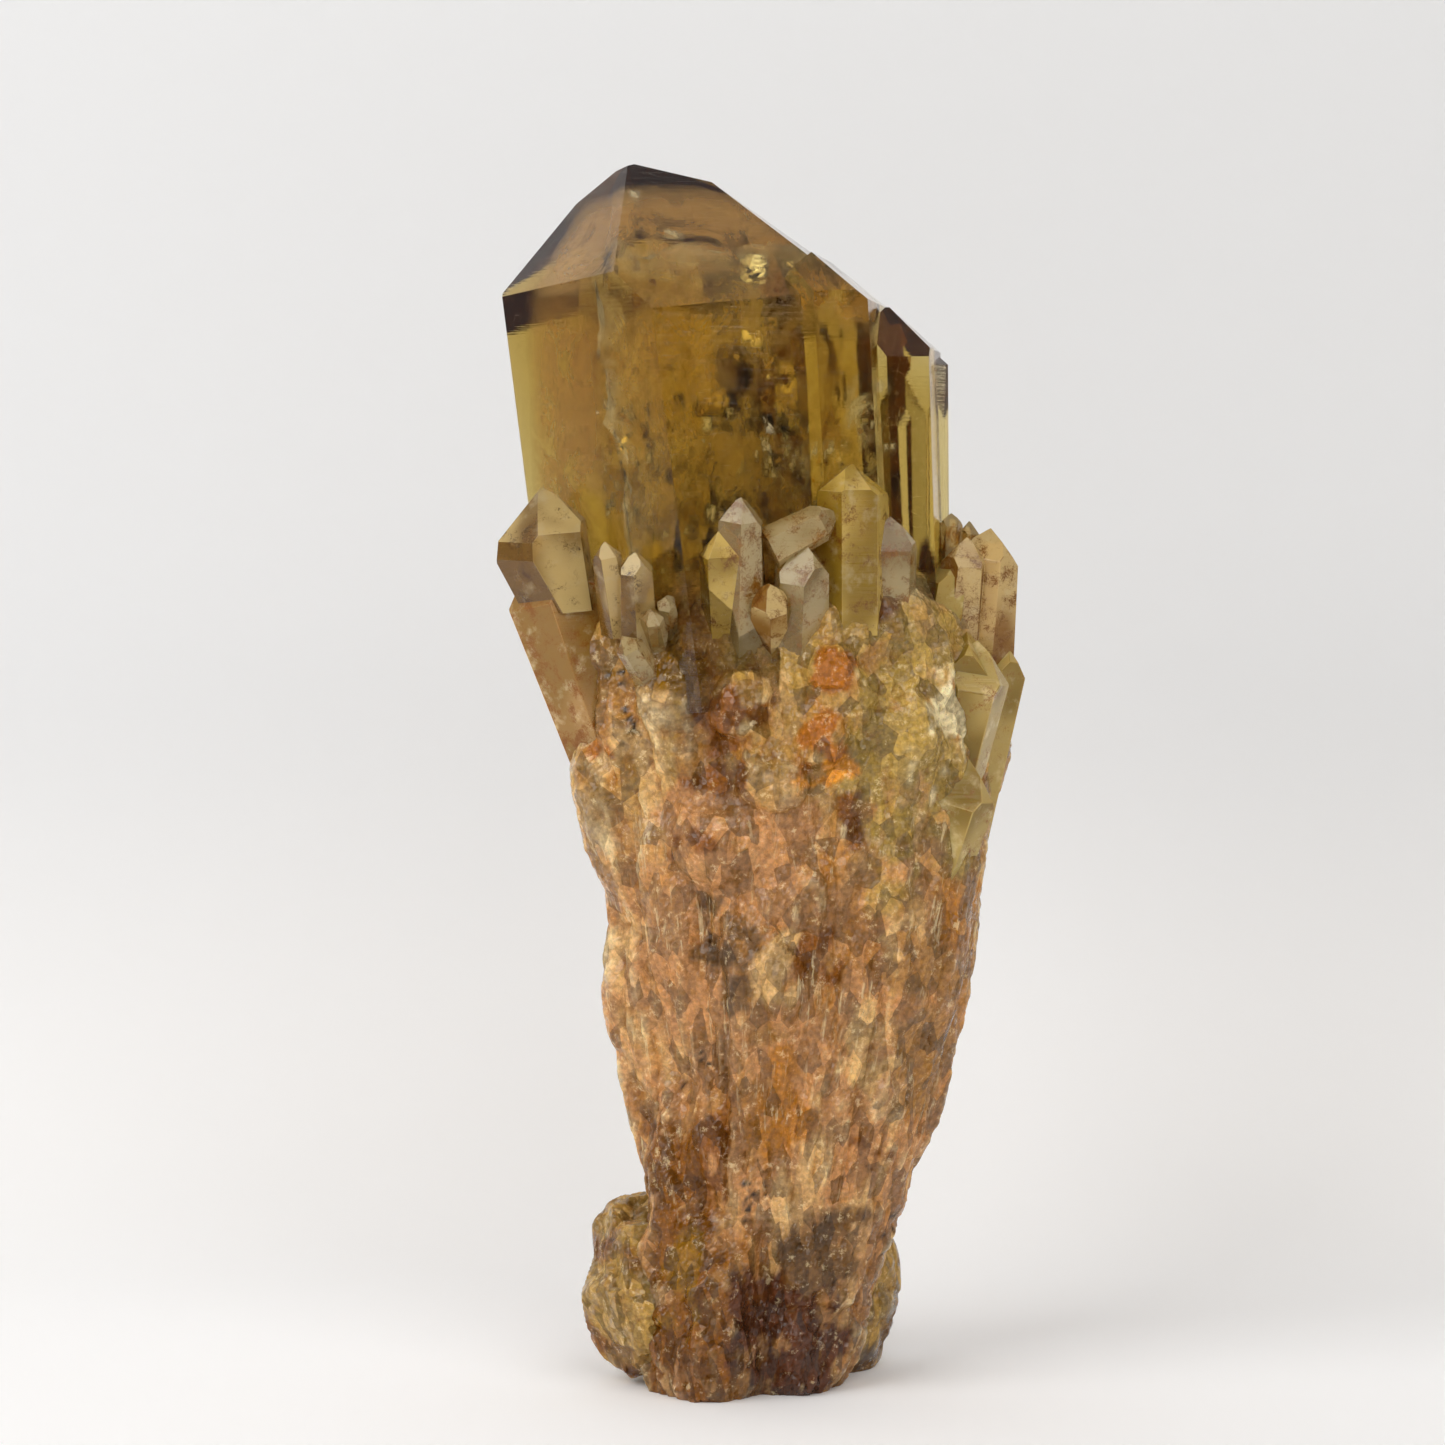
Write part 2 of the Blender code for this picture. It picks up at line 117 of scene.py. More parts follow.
# The large crystals. A side is azimuth from the show face, distance from the axis and
# taper; an end face is azimuth, height where it meets the axis over the tip, and slope.
MAIN_CRYSTALS = {
    "main_point": {
        "tip": (-17.4, -2.1, 158.5), "foot": (-8.6, -2.1, 88.0),
        "sides": ((-42, 13.8, 0), (18, 18.6, 0), (78, 23.8, -4.5),
                  (138, 20.0, -7), (198, 20.5, -8), (-102, 17.5, 0)),
        "ends": ((-42, 0.3, 48.3), (18, 0.2, 48.3), (78, 6.0, 43.7), (158, 0.0, 46),
                 (205, 0.5, 46), (-102, 4.0, 46.9), (-110, -0.3, 12)),
    },
    "second_point": {
        "tip": (7.5, -1.0, 149.5), "foot": (11.0, -1.0, 88.0),
        "sides": ((-42, 13.0, 0), (18, 14.4, 0), (78, 7.6, 0),
                  (138, 11.0, 0), (198, 13.0, 0), (-102, 8.0, 0)),
        "ends": ((18, 9.6, 51.8), (78, -2.8, 43), (198, 3.0, 51.8), (138, 1.0, 51.8),
                 (-102, -4.0, 45)),
    },
    "third_point": {
        "tip": (16.8, -4.5, 139.2), "foot": (18.4, -4.5, 88.0),
        "sides": ((-42, 5.2, 0), (18, 5.0, 0), (78, 4.8, 0),
                  (138, 9.0, 0), (198, 12.0, 0), (-102, 6.0, 0)),
        "ends": ((18, 0.2, 51.8), (78, 0.0, 46), (198, 1.0, 51.8), (-42, 2.5, 51.8),
                 (-102, 2.0, 51.8)),
    },
    "edge_point": {
        "tip": (19.2, 1.0, 136.8), "foot": (19.6, 1.0, 88.0),
        "sides": ((-5, 5.0, 0), (55, 4.3, 0), (115, 4.2, 0),
                  (175, 9.0, 0), (235, 5.0, 0), (295, 5.0, 0)),
        "ends": ((-5, 3.0, 51.8), (55, 0.5, 47), (115, 0.5, 47), (175, 1.0, 51.8)),
    },
    "shoulder_point": {
        "tip": (-28.4, -11.5, 116.2), "foot": (-27.6, -9.5, 101.0),
        "sides": ((-40, 4.6, 6), (20, 4.6, 6), (80, 4.9, 6),
                  (140, 5.0, 3), (200, 5.0, 3), (-100, 4.3, 8),
                  (-100, 9.4, -23), (-40, 8.6, -20)),
        "ends": ((-40, 0.4, 51.8), (20, 0.0, 46), (80, 1.0, 44), (140, 0.5, 50),
                 (200, 0.5, 50), (-100, 0.0, 50)),
    },
    "yellow_point": {
        "tip": (10.8, -16.4, 118.6), "foot": (10.6, -14.0, 98.0),
        "sides": ((-42, 3.8, 0), (12, 3.6, 1), (72, 4.0, 1),
                  (132, 5.0, 1), (192, 5.0, 1), (-102, 3.8, 1)),
        "ends": ((-42, 0.5, 40), (12, 0.0, 34), (72, 0.5, 42), (132, 1.0, 44),
                 (192, 1.0, 44), (-102, 0.5, 42)),
    },
}

# Smaller crystals that stand free: tip, foot, radius, turn
SMALL_CRYSTALS = {
    "shoulder_bud": ((-20.0, -19.4, 109.3), (-18.2, -15.0, 98.0), 1.5, 10),
    "shoulder_bud_low": ((-16.1, -21.0, 108.0), (-15.6, -16.0, 95.0), 1.8, -30),
    "seed_left": ((-17.8, -21.4, 97.6), (-13.0, -15.0, 90.0), 1.5, 20),
    "seed_middle": ((-14.2, -22.0, 100.8), (-13.2, -15.0, 95.0), 1.2, 5),
    "seed_right": ((-12.4, -21.6, 102.4), (-11.6, -15.0, 97.0), 1.2, -20),
    "clear_point": ((-3.0, -21.0, 114.8), (-3.3, -15.0, 94.0), 2.4, -35),
    "green_point": ((-5.0, -20.4, 111.4), (-4.0, -14.0, 94.0), 2.9, 0),
    "tilted_plate": ((9.2, -18.4, 112.8), (0.6, -19.4, 108.4), 2.0, 20),
    "plate_stem": ((4.8, -20.2, 109.4), (4.2, -13.5, 94.0), 3.2, -20),
    "orange_knob": ((0.6, -22.0, 104.0), (0.8, -14.0, 96.0), 2.2, 25),
    "pale_fin": ((15.8, -15.0, 112.6), (14.6, -9.0, 94.0), 3.2, 12),
    "edge_point_right": ((29.3, -5.0, 111.4), (27.6, -2.0, 90.0), 3.2, -22),
    "brown_point": ((26.1, -6.8, 110.2), (24.6, -3.0, 92.0), 2.5, 10),
    "left_fin": ((24.4, -2.0, 113.4), (24.4, -1.0, 102.0), 1.3, 0),
    "right_fin": ((26.8, -1.0, 112.4), (26.2, 0.0, 101.0), 1.4, 25),
}

# Columns of the fan that end as crystals: tip, foot, radius, turn
COLUMNS = {
    "left_column": ((-28.2, -9.4, 110.0), (-17.0, -5.0, 74.0), 6.8, -40),
    "left_rib": ((-21.8, -8.0, 88.0), (-8.0, -3.0, 34.0), 6.6, 5),
    "olive_face": ((-12.6, -16.4, 99.0), (-4.0, -7.0, 46.0), 6.4, -25),
    "broad_column": ((9.6, -15.8, 99.0), (5.6, -7.0, 46.0), 7.0, -20),
    "pale_column": ((19.4, -15.8, 93.7), (10.6, -8.0, 50.0), 6.0, -30),
    "right_column": ((30.2, -3.0, 98.0), (24.0, -1.0, 56.0), 4.5, -20),
    "olive_column": ((27.4, -8.2, 97.0), (19.0, -3.0, 52.0), 4.8, 5),
    "yellow_tip": ((26.0, -11.8, 82.0), (15.0, -5.0, 42.0), 4.4, -10),
    "right_edge": ((30.8, 4.0, 90.0), (15.0, 2.0, 34.0), 5.4, 10),
    "rib_bump": ((0.4, -18.6, 61.5), (2.2, -7.0, 20.0), 4.8, -30),
    "glassy_column": ((16.4, -14.8, 63.0), (5.0, -4.0, 14.0), 5.0, -25),
}

# Fused ribs, whose long ends run out into the root: top, foot, radius, turn
RIBS = {
    "left_slope": ((-21.4, -12.4, 104.0), (-8.0, -6.6, 44.0), 5.8, -10),
    "middle_rib": ((-1.0, -17.4, 104.0), (0.0, -9.0, 40.0), 6.8, 15),
    "right_face": ((21.0, -15.0, 100.0), (9.0, -7.0, 30.0), 6.4, -20),
    "pink_ridge": ((-16.0, -14.6, 80.0), (0.0, -9.4, 12.0), 5.2, 0),
    "left_slab": ((-19.4, -6.6, 74.0), (-7.4, -3.0, 6.0), 6.6, -40),
    "cream_rib": ((14.0, -16.4, 68.0), (5.6, -8.4, 10.0), 5.4, 10),
    "pink_rib": ((-4.6, -17.2, 76.0), (0.6, -9.4, 10.0), 5.4, 22),
    "base_ridge": ((-7.0, -13.0, 50.0), (-2.0, -6.4, 4.0), 5.8, 20),
    "base_shoulder": ((7.0, -13.6, 48.0), (5.0, -6.4, 4.0), 5.8, -10),
}

# Tiers of columns round the fan: count, first and last angle, lowest and highest tip,
# shortest and longest length, depth of the tips as a share of the radius, end slope
BACK = (66.0, 288.0)
ROUND = (14.0, 332.0)
FAN_TIERS = (
    (12, *BACK, 97.0, 109.0, 44.0, 56.0, 0.55, END_SLOPE),
    (11, *BACK, 78.0, 98.0, 40.0, 50.0, 0.60, 70.0),
    (15, *ROUND, 72.0, 90.0, 26.0, 34.0, 0.42, RIB_SLOPE),
    (15, *ROUND, 50.0, 70.0, 26.0, 34.0, 0.42, RIB_SLOPE),
    (13, *ROUND, 32.0, 50.0, 24.0, 30.0, 0.42, RIB_SLOPE),
)
FAN_RADIUS = (4.0, 5.8)
FOOT_BURY = 1.3
LOWEST_FOOT = 2.0
BUDS = 12
BUD_RADIUS = (1.3, 2.6)
BUD_LENGTH = (9.0, 12.0)
BUD_TIPS = (105.0, 113.0)
SEED = 11

# Lumps of the broken end and of the crust, rounded and chipped: centre and radii
LUMPS = {
    "left_lump": ((-16.0, -3.6, 13.0), (8.2, 9.4, 12.6)),
    "front_lump": ((-7.6, -7.2, 11.0), (10.2, 10.6, 16.0)),
    "middle_lump": ((4.2, -4.6, 11.4), (10.0, 9.8, 15.2)),
    "right_lump": ((9.6, 7.0, 11.0), (8.8, 9.2, 14.0)),
    "back_lump": ((-7.6, 7.6, 10.0), (10.4, 10.4, 16.6)),
    "amber_tongue": ((-11.6, -6.8, 27.0), (4.6, 6.8, 15.0)),
    "heart_lump": ((0.5, 0.0, 14.0), (14.5, 13.0, 17.0)),
    "crust_lump": ((0.8, -17.2, 79.0), (5.6, 4.8, 4.6)),
    "crust_lump_low": ((-5.0, -15.8, 72.0), (8.0, 5.2, 7.6)),
    "orange_lump": ((7.4, -17.4, 84.6), (4.6, 4.6, 4.2)),
    "orange_lump_high": ((8.6, -17.6, 93.4), (4.2, 4.4, 3.4)),
    "rust_lump": ((-3.2, -17.2, 89.0), (5.0, 4.8, 5.4)),
    "pink_lump": ((3.2, -14.2, 66.0), (7.4, 6.0, 8.4)),
}
LUMP_CHIPS = 11
CHIP_DEPTH = (0.76, 0.94)

# What is shown as crystals of its own kind, and what stays in the stone
CLEAR_GROUPS = {
    "main_points": ("main_point", "second_point", "third_point", "edge_point"),
    "shoulder_crystals": ("shoulder_point", "shoulder_bud", "shoulder_bud_low"),
    "yellow_crystals": ("yellow_point", "green_point"),
    "clear_crystals": ("clear_point", "seed_left", "seed_middle", "seed_right",
                       "tilted_plate", "plate_stem", "pale_fin", "left_fin", "right_fin"),
    "stained_crystals": ("orange_knob", "brown_point", "edge_point_right"),
}
PALE_COLUMNS = ("right_column", "olive_column", "yellow_tip")
WARM_COLUMNS = ("left_column",)
COLUMN_SKIN = 0.9
LOBES = ("left_lump", "right_lump")

# The stone's grid: rings of the flat rest, of the sides and of the domed top
BASE_RINGS = 8
SIDE_RINGS = 192
TOP_RINGS = 54
RING_STEPS = 384
SPINE_TOP = 96.0
LOBE_RINGS = 96
LOBE_STEPS = 128
# The base's rings lie at these shares of the way out to its edge
BASE_SHARES = (0.12, 0.96)
# Halvings of the range in which a ray leaves the root, its rows and its directions
HALVINGS = 16
FARTHEST_OUT = 60.0
ROOT_ROWS = 122
ROOT_COURSES = 360
WORN_EDGE = 0.12
WORN_ANGLE = 14.0

# The columns spread from a point under the rest
FAN_ORIGIN = np.array((-1.0, 0.0, -45.0))
FAN_SCALE = 120.0

# Relief of the stone, as chips packed together: size across, stretch along the fan,
# height. The base and the crown break into blocks, and the fan into long splinters.
SPLINTER_LAYERS = ((8.5, 0.40, 1.8), (3.8, 0.60, 0.65), (1.7, 0.80, 0.30))
BLOCK_LAYERS = ((8.5, 0.8, 2.0), (3.6, 0.8, 1.0), (1.6, 1.0, 0.45))
BASE_BLEND = (18.0, 36.0)
CROWN_BLEND = (62.0, 84.0)
CROWN_SHARE = 0.75
RELIEF_RANGE = (-2.2, 0.8)
# How far the stone may lie under or over the mean of its neighbourhood before the relief
MASS_RANGE = (-0.35, 0.4)
MASS_SOFTENING = 60
# The stone lies in a hollow where it is under the mean of its neighbourhood
HOLLOW_SOFTENING = 14
LOBE_SOFTENING = 8
# Relief of the lobes: size across, shift and height of the chips, and how far it may go
LOBE_LAYERS = ((8.5, 0.0, 1.9), (3.4, 5.0, 0.6))
LOBE_GRAIN = 0.05
LOBE_RANGE = (-2.0, 0.2)
CHIP_FLANK = 2.4
BOX_MARGIN = 0.02

# Finishes of the stone, as plain colours with red, green and blue from 0 to 255
PALETTE = {
    "quartz": (178, 142, 70),
    "green_quartz": (178, 146, 72),
    "white": (246, 226, 176),
    "pink": (190, 136, 82),
    "cream": (214, 172, 110),
    "beige": (162, 116, 58),
    "ochre": (174, 114, 36),
    "orange": (172, 104, 26),
    "bright_orange": (240, 160, 50),
    "rust": (134, 80, 22),
    "brown": (84, 52, 22),
    "black": (34, 20, 8),
    "olive": (140, 98, 8),
    "purple": (92, 50, 24),
    "grey": (116, 82, 42),
    "amber": (132, 80, 10),
}

# Places of those finishes on the show face: finish, X, Z, half width, half height, strength
PATCHES = (
    ("green_quartz", 18.8, 84.0, 9.5, 20.0, 1.0),
    ("quartz", 4.0, 98.0, 12.0, 7.0, 0.8),
    ("beige", -24.0, 97.0, 6.0, 10.0, 0.9),
    ("cream", -20.0, 82.0, 5.0, 8.0, 0.6),
    ("olive", -13.1, 96.4, 6.0, 7.0, 1.1),
    ("pink", -4.4, 72.0, 11.0, 8.0, 1.0),
    ("pink", -8.0, 56.0, 8.0, 12.0, 0.9),
    ("pink", 2.0, 44.0, 8.0, 10.0, 0.8),
    ("beige", 22.0, 52.0, 9.0, 18.0, 0.8),
    ("grey", -4.1, 58.3, 3.8, 6.6, 1.2),
    ("cream", 1.5, 56.6, 3.6, 4.6, 1.0),
    ("cream", 12.1, 44.5, 2.6, 5.0, 1.0),
    # Painted highlight: the cream patch below stands for light caught on a glassy face
    ("cream", 16.8, 58.6, 2.0, 4.0, 0.9),
    ("rust", 7.5, 57.4, 3.2, 3.6, 1.1),
    ("ochre", 1.9, 38.3, 2.8, 8.0, 1.1),
    ("rust", -3.1, 89.9, 2.8, 2.6, 1.4),
    ("rust", -5.6, 86.3, 2.4, 2.8, 1.2),
    ("rust", -4.5, 79.5, 5.5, 3.0, 0.8),
    ("orange", 7.9, 93.9, 3.4, 2.2, 1.2),
    ("orange", 7.6, 84.4, 3.4, 2.8, 1.2),
    ("bright_orange", 7.1, 80.5, 2.8, 1.8, 1.3),
    ("cream", 0.9, 79.3, 3.8, 2.4, 1.2),
    ("orange", -21.2, 82.0, 2.0, 2.4, 1.2),
    ("black", -18.0, 89.3, 2.6, 6.0, 0.9),
    ("white", 25.0, 89.5, 3.4, 3.6, 1.7),
    ("white", 19.0, 78.0, 3.0, 5.0, 0.6),
    ("olive", 29.0, 88.9, 2.6, 6.4, 0.9),
    ("olive", 26.3, 76.1, 2.2, 3.8, 0.9),
    ("rust", 11.0, 72.0, 3.0, 5.0, 0.6),
    ("rust", -10.5, 70.0, 3.0, 5.0, 0.7),
    ("rust", 14.0, 104.0, 2.0, 5.0, 0.7),
    ("ochre", 24.5, 62.0, 2.2, 8.0, 0.8),
    ("brown", 30.0, 58.0, 3.0, 10.0, 0.7),
    ("black", -8.0, 43.3, 1.9, 2.1, 1.1),
    ("rust", -6.0, 33.0, 3.6, 8.0, 0.8),
    ("black", -2.5, 25.1, 2.2, 3.4, 0.8),
    ("amber", -11.6, 26.4, 3.8, 11.0, 1.2),
    ("amber", -9.0, 11.0, 7.0, 12.0, 1.3),
    ("olive", -11.0, 16.0, 2.4, 6.0, 0.8),
    ("purple", 3.6, 9.0, 7.0, 9.0, 1.4),
    ("grey", 7.5, 18.9, 5.0, 5.0, 1.1),
    ("brown", 15.9, 19.3, 2.2, 4.0, 1.1),
    ("rust", 13.0, 30.0, 3.0, 5.0, 0.6),
    ("black", 28.6, 80.1, 0.9, 1.4, 1.2),
    ("black", 29.8, 66.0, 0.9, 1.3, 1.2),
)
PATCH_WARP = 2.4
BRANCHING = ("black", "brown")
LOBE_FINISHES = {
    "left_lump": ("quartz", "amber"),
    "right_lump": ("quartz", "grey"),
}
# Quartz of the crystals: colour and density of the absorption, transmission, base colour and
# painted lit colour as painted light on the faces, haze, stain and its amount, milk, and a shift
# of the pattern
CLEAR_FINISHES = {
    "smoky_gold": {"absorb": (0.80, 0.664, 0.107, 1.0), "density": 152.0},
    "honey_quartz": {
        "absorb": (0.84, 0.66, 0.05, 1.0), "density": 340.0, "transmission": 0.5,
        "base": (0.26, 0.13, 0.02, 1.0), "painted_lit_colour": (0.90, 0.66, 0.26, 1.0),
        "haze": 0.05, "stain_colour": "brown", "stain": 0.1, "shift": 2.3},
    "yellow_quartz": {
        "absorb": (0.86, 0.74, 0.02, 1.0), "density": 420.0, "transmission": 0.45,
        "base": (0.40, 0.24, 0.02, 1.0), "painted_lit_colour": (0.88, 0.60, 0.14, 1.0),
        "haze": 0.06, "stain_colour": "rust", "stain": 0.2},
    "pale_quartz": {
        "absorb": (0.84, 0.70, 0.12, 1.0), "density": 240.0, "transmission": 0.6,
        "base": (0.40, 0.26, 0.07, 1.0), "painted_lit_colour": (0.84, 0.66, 0.32, 1.0),
        "haze": 0.05, "stain_colour": "ochre", "stain": 0.3},
    "rusty_quartz": {
        "absorb": (0.82, 0.60, 0.06, 1.0), "density": 300.0, "transmission": 0.4,
        "base": (0.36, 0.17, 0.03, 1.0), "painted_lit_colour": (0.85, 0.60, 0.24, 1.0),
        "haze": 0.08, "stain_colour": "rust", "stain": 0.3},
    "milky_quartz": {
        "base": (0.24, 0.15, 0.02, 1.0), "painted_lit_colour": (0.44, 0.31, 0.09, 1.0),
        "haze": 0.08, "stain_colour": "rust", "stain": 0.1, "milk": 0.5},
    "warm_quartz": {
        "base": (0.28, 0.15, 0.03, 1.0), "painted_lit_colour": (0.42, 0.24, 0.08, 1.0),
        "haze": 0.12, "stain_colour": "rust", "stain": 0.3, "milk": 0.5},
}
GROUP_FINISHES = {
    "main_points": "smoky_gold", "shoulder_crystals": "honey_quartz",
    "yellow_crystals": "yellow_quartz", "clear_crystals": "pale_quartz",
    "stained_crystals": "rusty_quartz",
}
# Veils: colour, size of the noise, where it starts and is full, metal, roughness, cover
VEIL_FINISHES = {
    "white_veil": ((0.98, 0.92, 0.72, 1.0), 0.30, 0.46, 0.66, 0.0, 0.35, 0.7),
    "gold_veil": ((1.0, 0.84, 0.40, 1.0), 0.60, 0.40, 0.54, 0.6, 0.3, 1.0),
    "smoke_veil": ((0.80, 0.50, 0.18, 1.0), 0.20, 0.30, 0.58, 0.0, 0.5, 0.6),
    "haze_veil": ((1.0, 0.78, 0.34, 1.0), 0.26, 0.36, 0.66, 0.0, 0.6, 0.5),
    "gold_flake": ((1.0, 0.78, 0.32, 1.0), 1.4, 0.44, 0.56, 0.6, 0.16, 1.0),
    "white_flake": ((1.0, 0.94, 0.76, 1.0), 1.4, 0.44, 0.56, 0.0, 0.2, 0.9),
}

# Inner veils of the large point: middle, half width, half height, turn, lean, and bend
WHITE_VEILS = (
    ((-12.5, -8.8, 148.0), 2.4, 1.1, 0, 20, 0.5),
    ((-17.0, -5.6, 153.0), 1.2, 1.8, -12, 30, 0.4),
    ((-9.0, -8.0, 118.0), 6.5, 10.0, 15, 6, 1.6),
    ((0.5, -9.0, 117.0), 6.0, 9.0, -20, -8, 1.4),
    ((-12.0, -10.0, 127.0), 2.0, 9.0, 60, 4, 1.2),
    ((-6.0, -12.0, 113.0), 3.0, 7.0, -35, 10, 1.0),
    ((-3.0, -6.0, 130.0), 1.6, 12.0, 40, -5, 0.8),
    ((-16.0, -9.0, 138.0), 2.2, 5.0, -25, 25, 0.9),
    ((12.0, -9.0, 122.0), 3.6, 9.0, 30, -12, 1.0),
    ((16.0, -6.0, 126.0), 3.0, 6.0, -40, 15, 0.8),
)
GOLD_VEILS = (
    ((-1.6, -10.6, 143.2), 2.0, 2.8, -12, 21, 0.5),
    ((-2.2, -11.0, 135.6), 1.6, 2.2, 8, 20, 0.4),
    ((-7.4, -10.0, 127.0), 2.4, 2.0, -12, 21, 0.5),
    ((-16.6, -11.0, 126.0), 1.8, 1.2, -20, 24, 0.3),
    ((-20.0, -8.0, 145.0), 2.4, 1.6, -30, 30, 0.4),
    ((2.0, -8.0, 128.0), 1.6, 5.0, 14, 12, 0.6),
)
SMOKE_VEILS = (
    ((-9.0, -7.4, 148.5), 15.0, 9.0, 16, 42, 0.5),
    ((-22.0, -7.0, 147.0), 6.0, 9.0, -42, 38, 0.4),
    ((9.0, -8.0, 141.0), 7.0, 8.0, 20, 44, 0.4),
    ((-24.0, -6.0, 124.0), 7.0, 22.0, -42, 0, 0.6),
)
HAZE_VEILS = (
    ((-7.0, -12.0, 126.0), 19.0, 26.0, 14, 2, 1.4),
    ((-5.0, -1.0, 121.0), 21.0, 24.0, 8, 6, 2.0),
    ((0.0, 2.0, 121.0), 17.0, 24.0, 60, -5, 2.0),
)
# Small flakes scattered in the large points: count, middle and half size of the region,
# and half size of a flake
GOLD_FLAKES = (90, (-4.0, -9.0, 132.0), (16.0, 6.0, 17.0), (0.25, 1.1))
WHITE_FLAKES = (150, (-2.0, -9.0, 116.0), (19.0, 7.0, 11.0), (0.25, 1.0))
VEIL_GRID = 48
FLAKE_GRID = 4
VEIL_THICKNESS = 0.04
VEIL_DEPTH = 0.4

# Stage: what the camera sees behind the object, and the camera itself
AIM = np.array((-5.3, 0.0, 86.1))
CAMERA_RISE = 2.0
CAMERA_DISTANCE = 420.0
LENS = 80.0
SENSOR = 36.0
WALL_Y = 150.0
SWEEP_RADIUS = 90.0
STAGE_WIDTH = 1400.0
STAGE_FRONT = -900.0
WALL_TOP = 1100.0
SWEEP_STEPS = 24
# Paper: the wall's colour is darker than the floor's, painted shade where the upright sweep gets
# less light
FLOOR_COLOUR = (0.97, 0.975, 0.985, 1.0)
WALL_COLOUR = (0.80, 0.812, 0.828, 1.0)
# Lights: place, width and height, and power
LIGHTS = {
    "window_light": ((-560.0, -460.0, 560.0), (620.0, 620.0), 4.3),
    "front_light": ((300.0, -620.0, 600.0), (760.0, 560.0), 3.1),
}
# The room's light behind the camera and behind the object
ROOM_STRENGTHS = (0.16, 0.50)
ROOM_COLOURS = ((1.0, 0.80, 0.55, 1.0), (0.98, 0.98, 1.0, 1.0))


def plain_colour(name):
    """A finish's colour as the light it stands for, by the usual screen curve."""
    share = np.array(PALETTE[name], float) / 255.0
    return np.where(share <= 0.04045, share / 12.92, ((share + 0.055) / 1.055) ** 2.4)


def socket_colour(name):
    """The same with the alpha of a colour socket."""
    return (*plain_colour(name), 1.0)


def smooth_step(low, high, value):
    """0 below low, 1 above high, and an S curve between them."""
    share = np.clip((value - low) / (high - low), 0.0, 1.0)
    return share * share * (3.0 - 2.0 * share)


# Shapes cut by planes
def crystal_planes(tip, foot, sides, ends):
    """Planes of a crystal, as outward normals and distances from the origin.

    A side stands at its distance from the axis and leans by its taper; an end face
    crosses the axis at its height over the tip; the foot is cut square.
    """
    tip = np.array(tip, float)
    foot = np.array(foot, float)
    axis = (tip - foot) / np.linalg.norm(tip - foot)
    right = np.array((1.0, 0.0, 0.0)) - axis * axis[0]
    right /= np.linalg.norm(right)
    away = np.cross(axis, right)

    def outward(azimuth):
        turn = np.radians(azimuth)
        return np.outer(np.sin(turn), right) - np.outer(np.cos(turn), away)

    azimuth, distance, taper = np.array(sides, float).T
    lean = np.radians(taper)[:, None]
    side_normals = outward(azimuth) * np.cos(lean) + axis * np.sin(lean)
    side_points = tip + outward(azimuth) * distance[:, None]
    azimuth, height, slope = np.array(ends, float).T
    lean = np.radians(slope)[:, None]
    end_normals = outward(azimuth) * np.sin(lean) + axis * np.cos(lean)
    end_points = tip + axis * height[:, None]
    normals = np.vstack((side_normals, end_normals, -axis))
    points = np.vstack((side_points, end_points, foot))
    return normals, (normals * points).sum(1)


def regular_planes(tip, foot, radius, turn, taper, slope, random):
    """Planes of a small crystal with six nearly equal sides, three long and three short ends."""
    sides = []
    ends = []
    for k in range(PRISM_FACES):
        azimuth = turn + 60.0 * k
        sides.append((azimuth, radius * random.uniform(0.86, 1.12), taper))
        ends.append((azimuth, radius * random.uniform(0.1, 0.5) * (k % 2), slope))
    return crystal_planes(tip, foot, sides, ends)


def root_section(height):
    """Left, right, front and back edge of the root at a height, by straight blends."""
    heights = ROOT_SECTIONS[:, 0]
    return [np.interp(height, heights, ROOT_SECTIONS[:, k]) for k in range(1, 5)]


def fan_point(angle, height, inset=0.0):
    """A point of the fan's side: a superellipse whose radius is changed by the ridges of
    its columns and by slow waves, with an inset from the outline that the columns reach."""
    left, right, front, back = root_section(height)
    across = np.sin(angle)
    deep = -np.cos(angle)
    reach = (np.abs(across) ** ROUNDNESS + np.abs(deep) ** ROUNDNESS) ** (-1.0 / ROUNDNESS)
    ridge = 1.0 - np.abs(np.sin(0.5 * FLUTES * (angle + FLUTE_TWIST * height)))
    slow = np.sin(2.0 * angle + 0.09 * height) + np.sin(5.0 * angle - 0.13 * height)
    reach = reach * (1.0 - FLUTE_DEPTH * ridge + WOBBLE * (0.5 * slow - 1.0))
    x = 0.5 * (left + right) + (0.5 * (right - left) - inset) * reach * across
    y = 0.5 * (front + back) + (0.5 * (back - front) - inset) * reach * deep
    return x, y


def fan_place(angle, height, depth):
    """A point at a height of the root, a depth in from its side."""
    out = np.array((math.sin(angle), -math.cos(angle), 0.0))
    return np.array((*fan_point(angle, height), height)) - out * depth


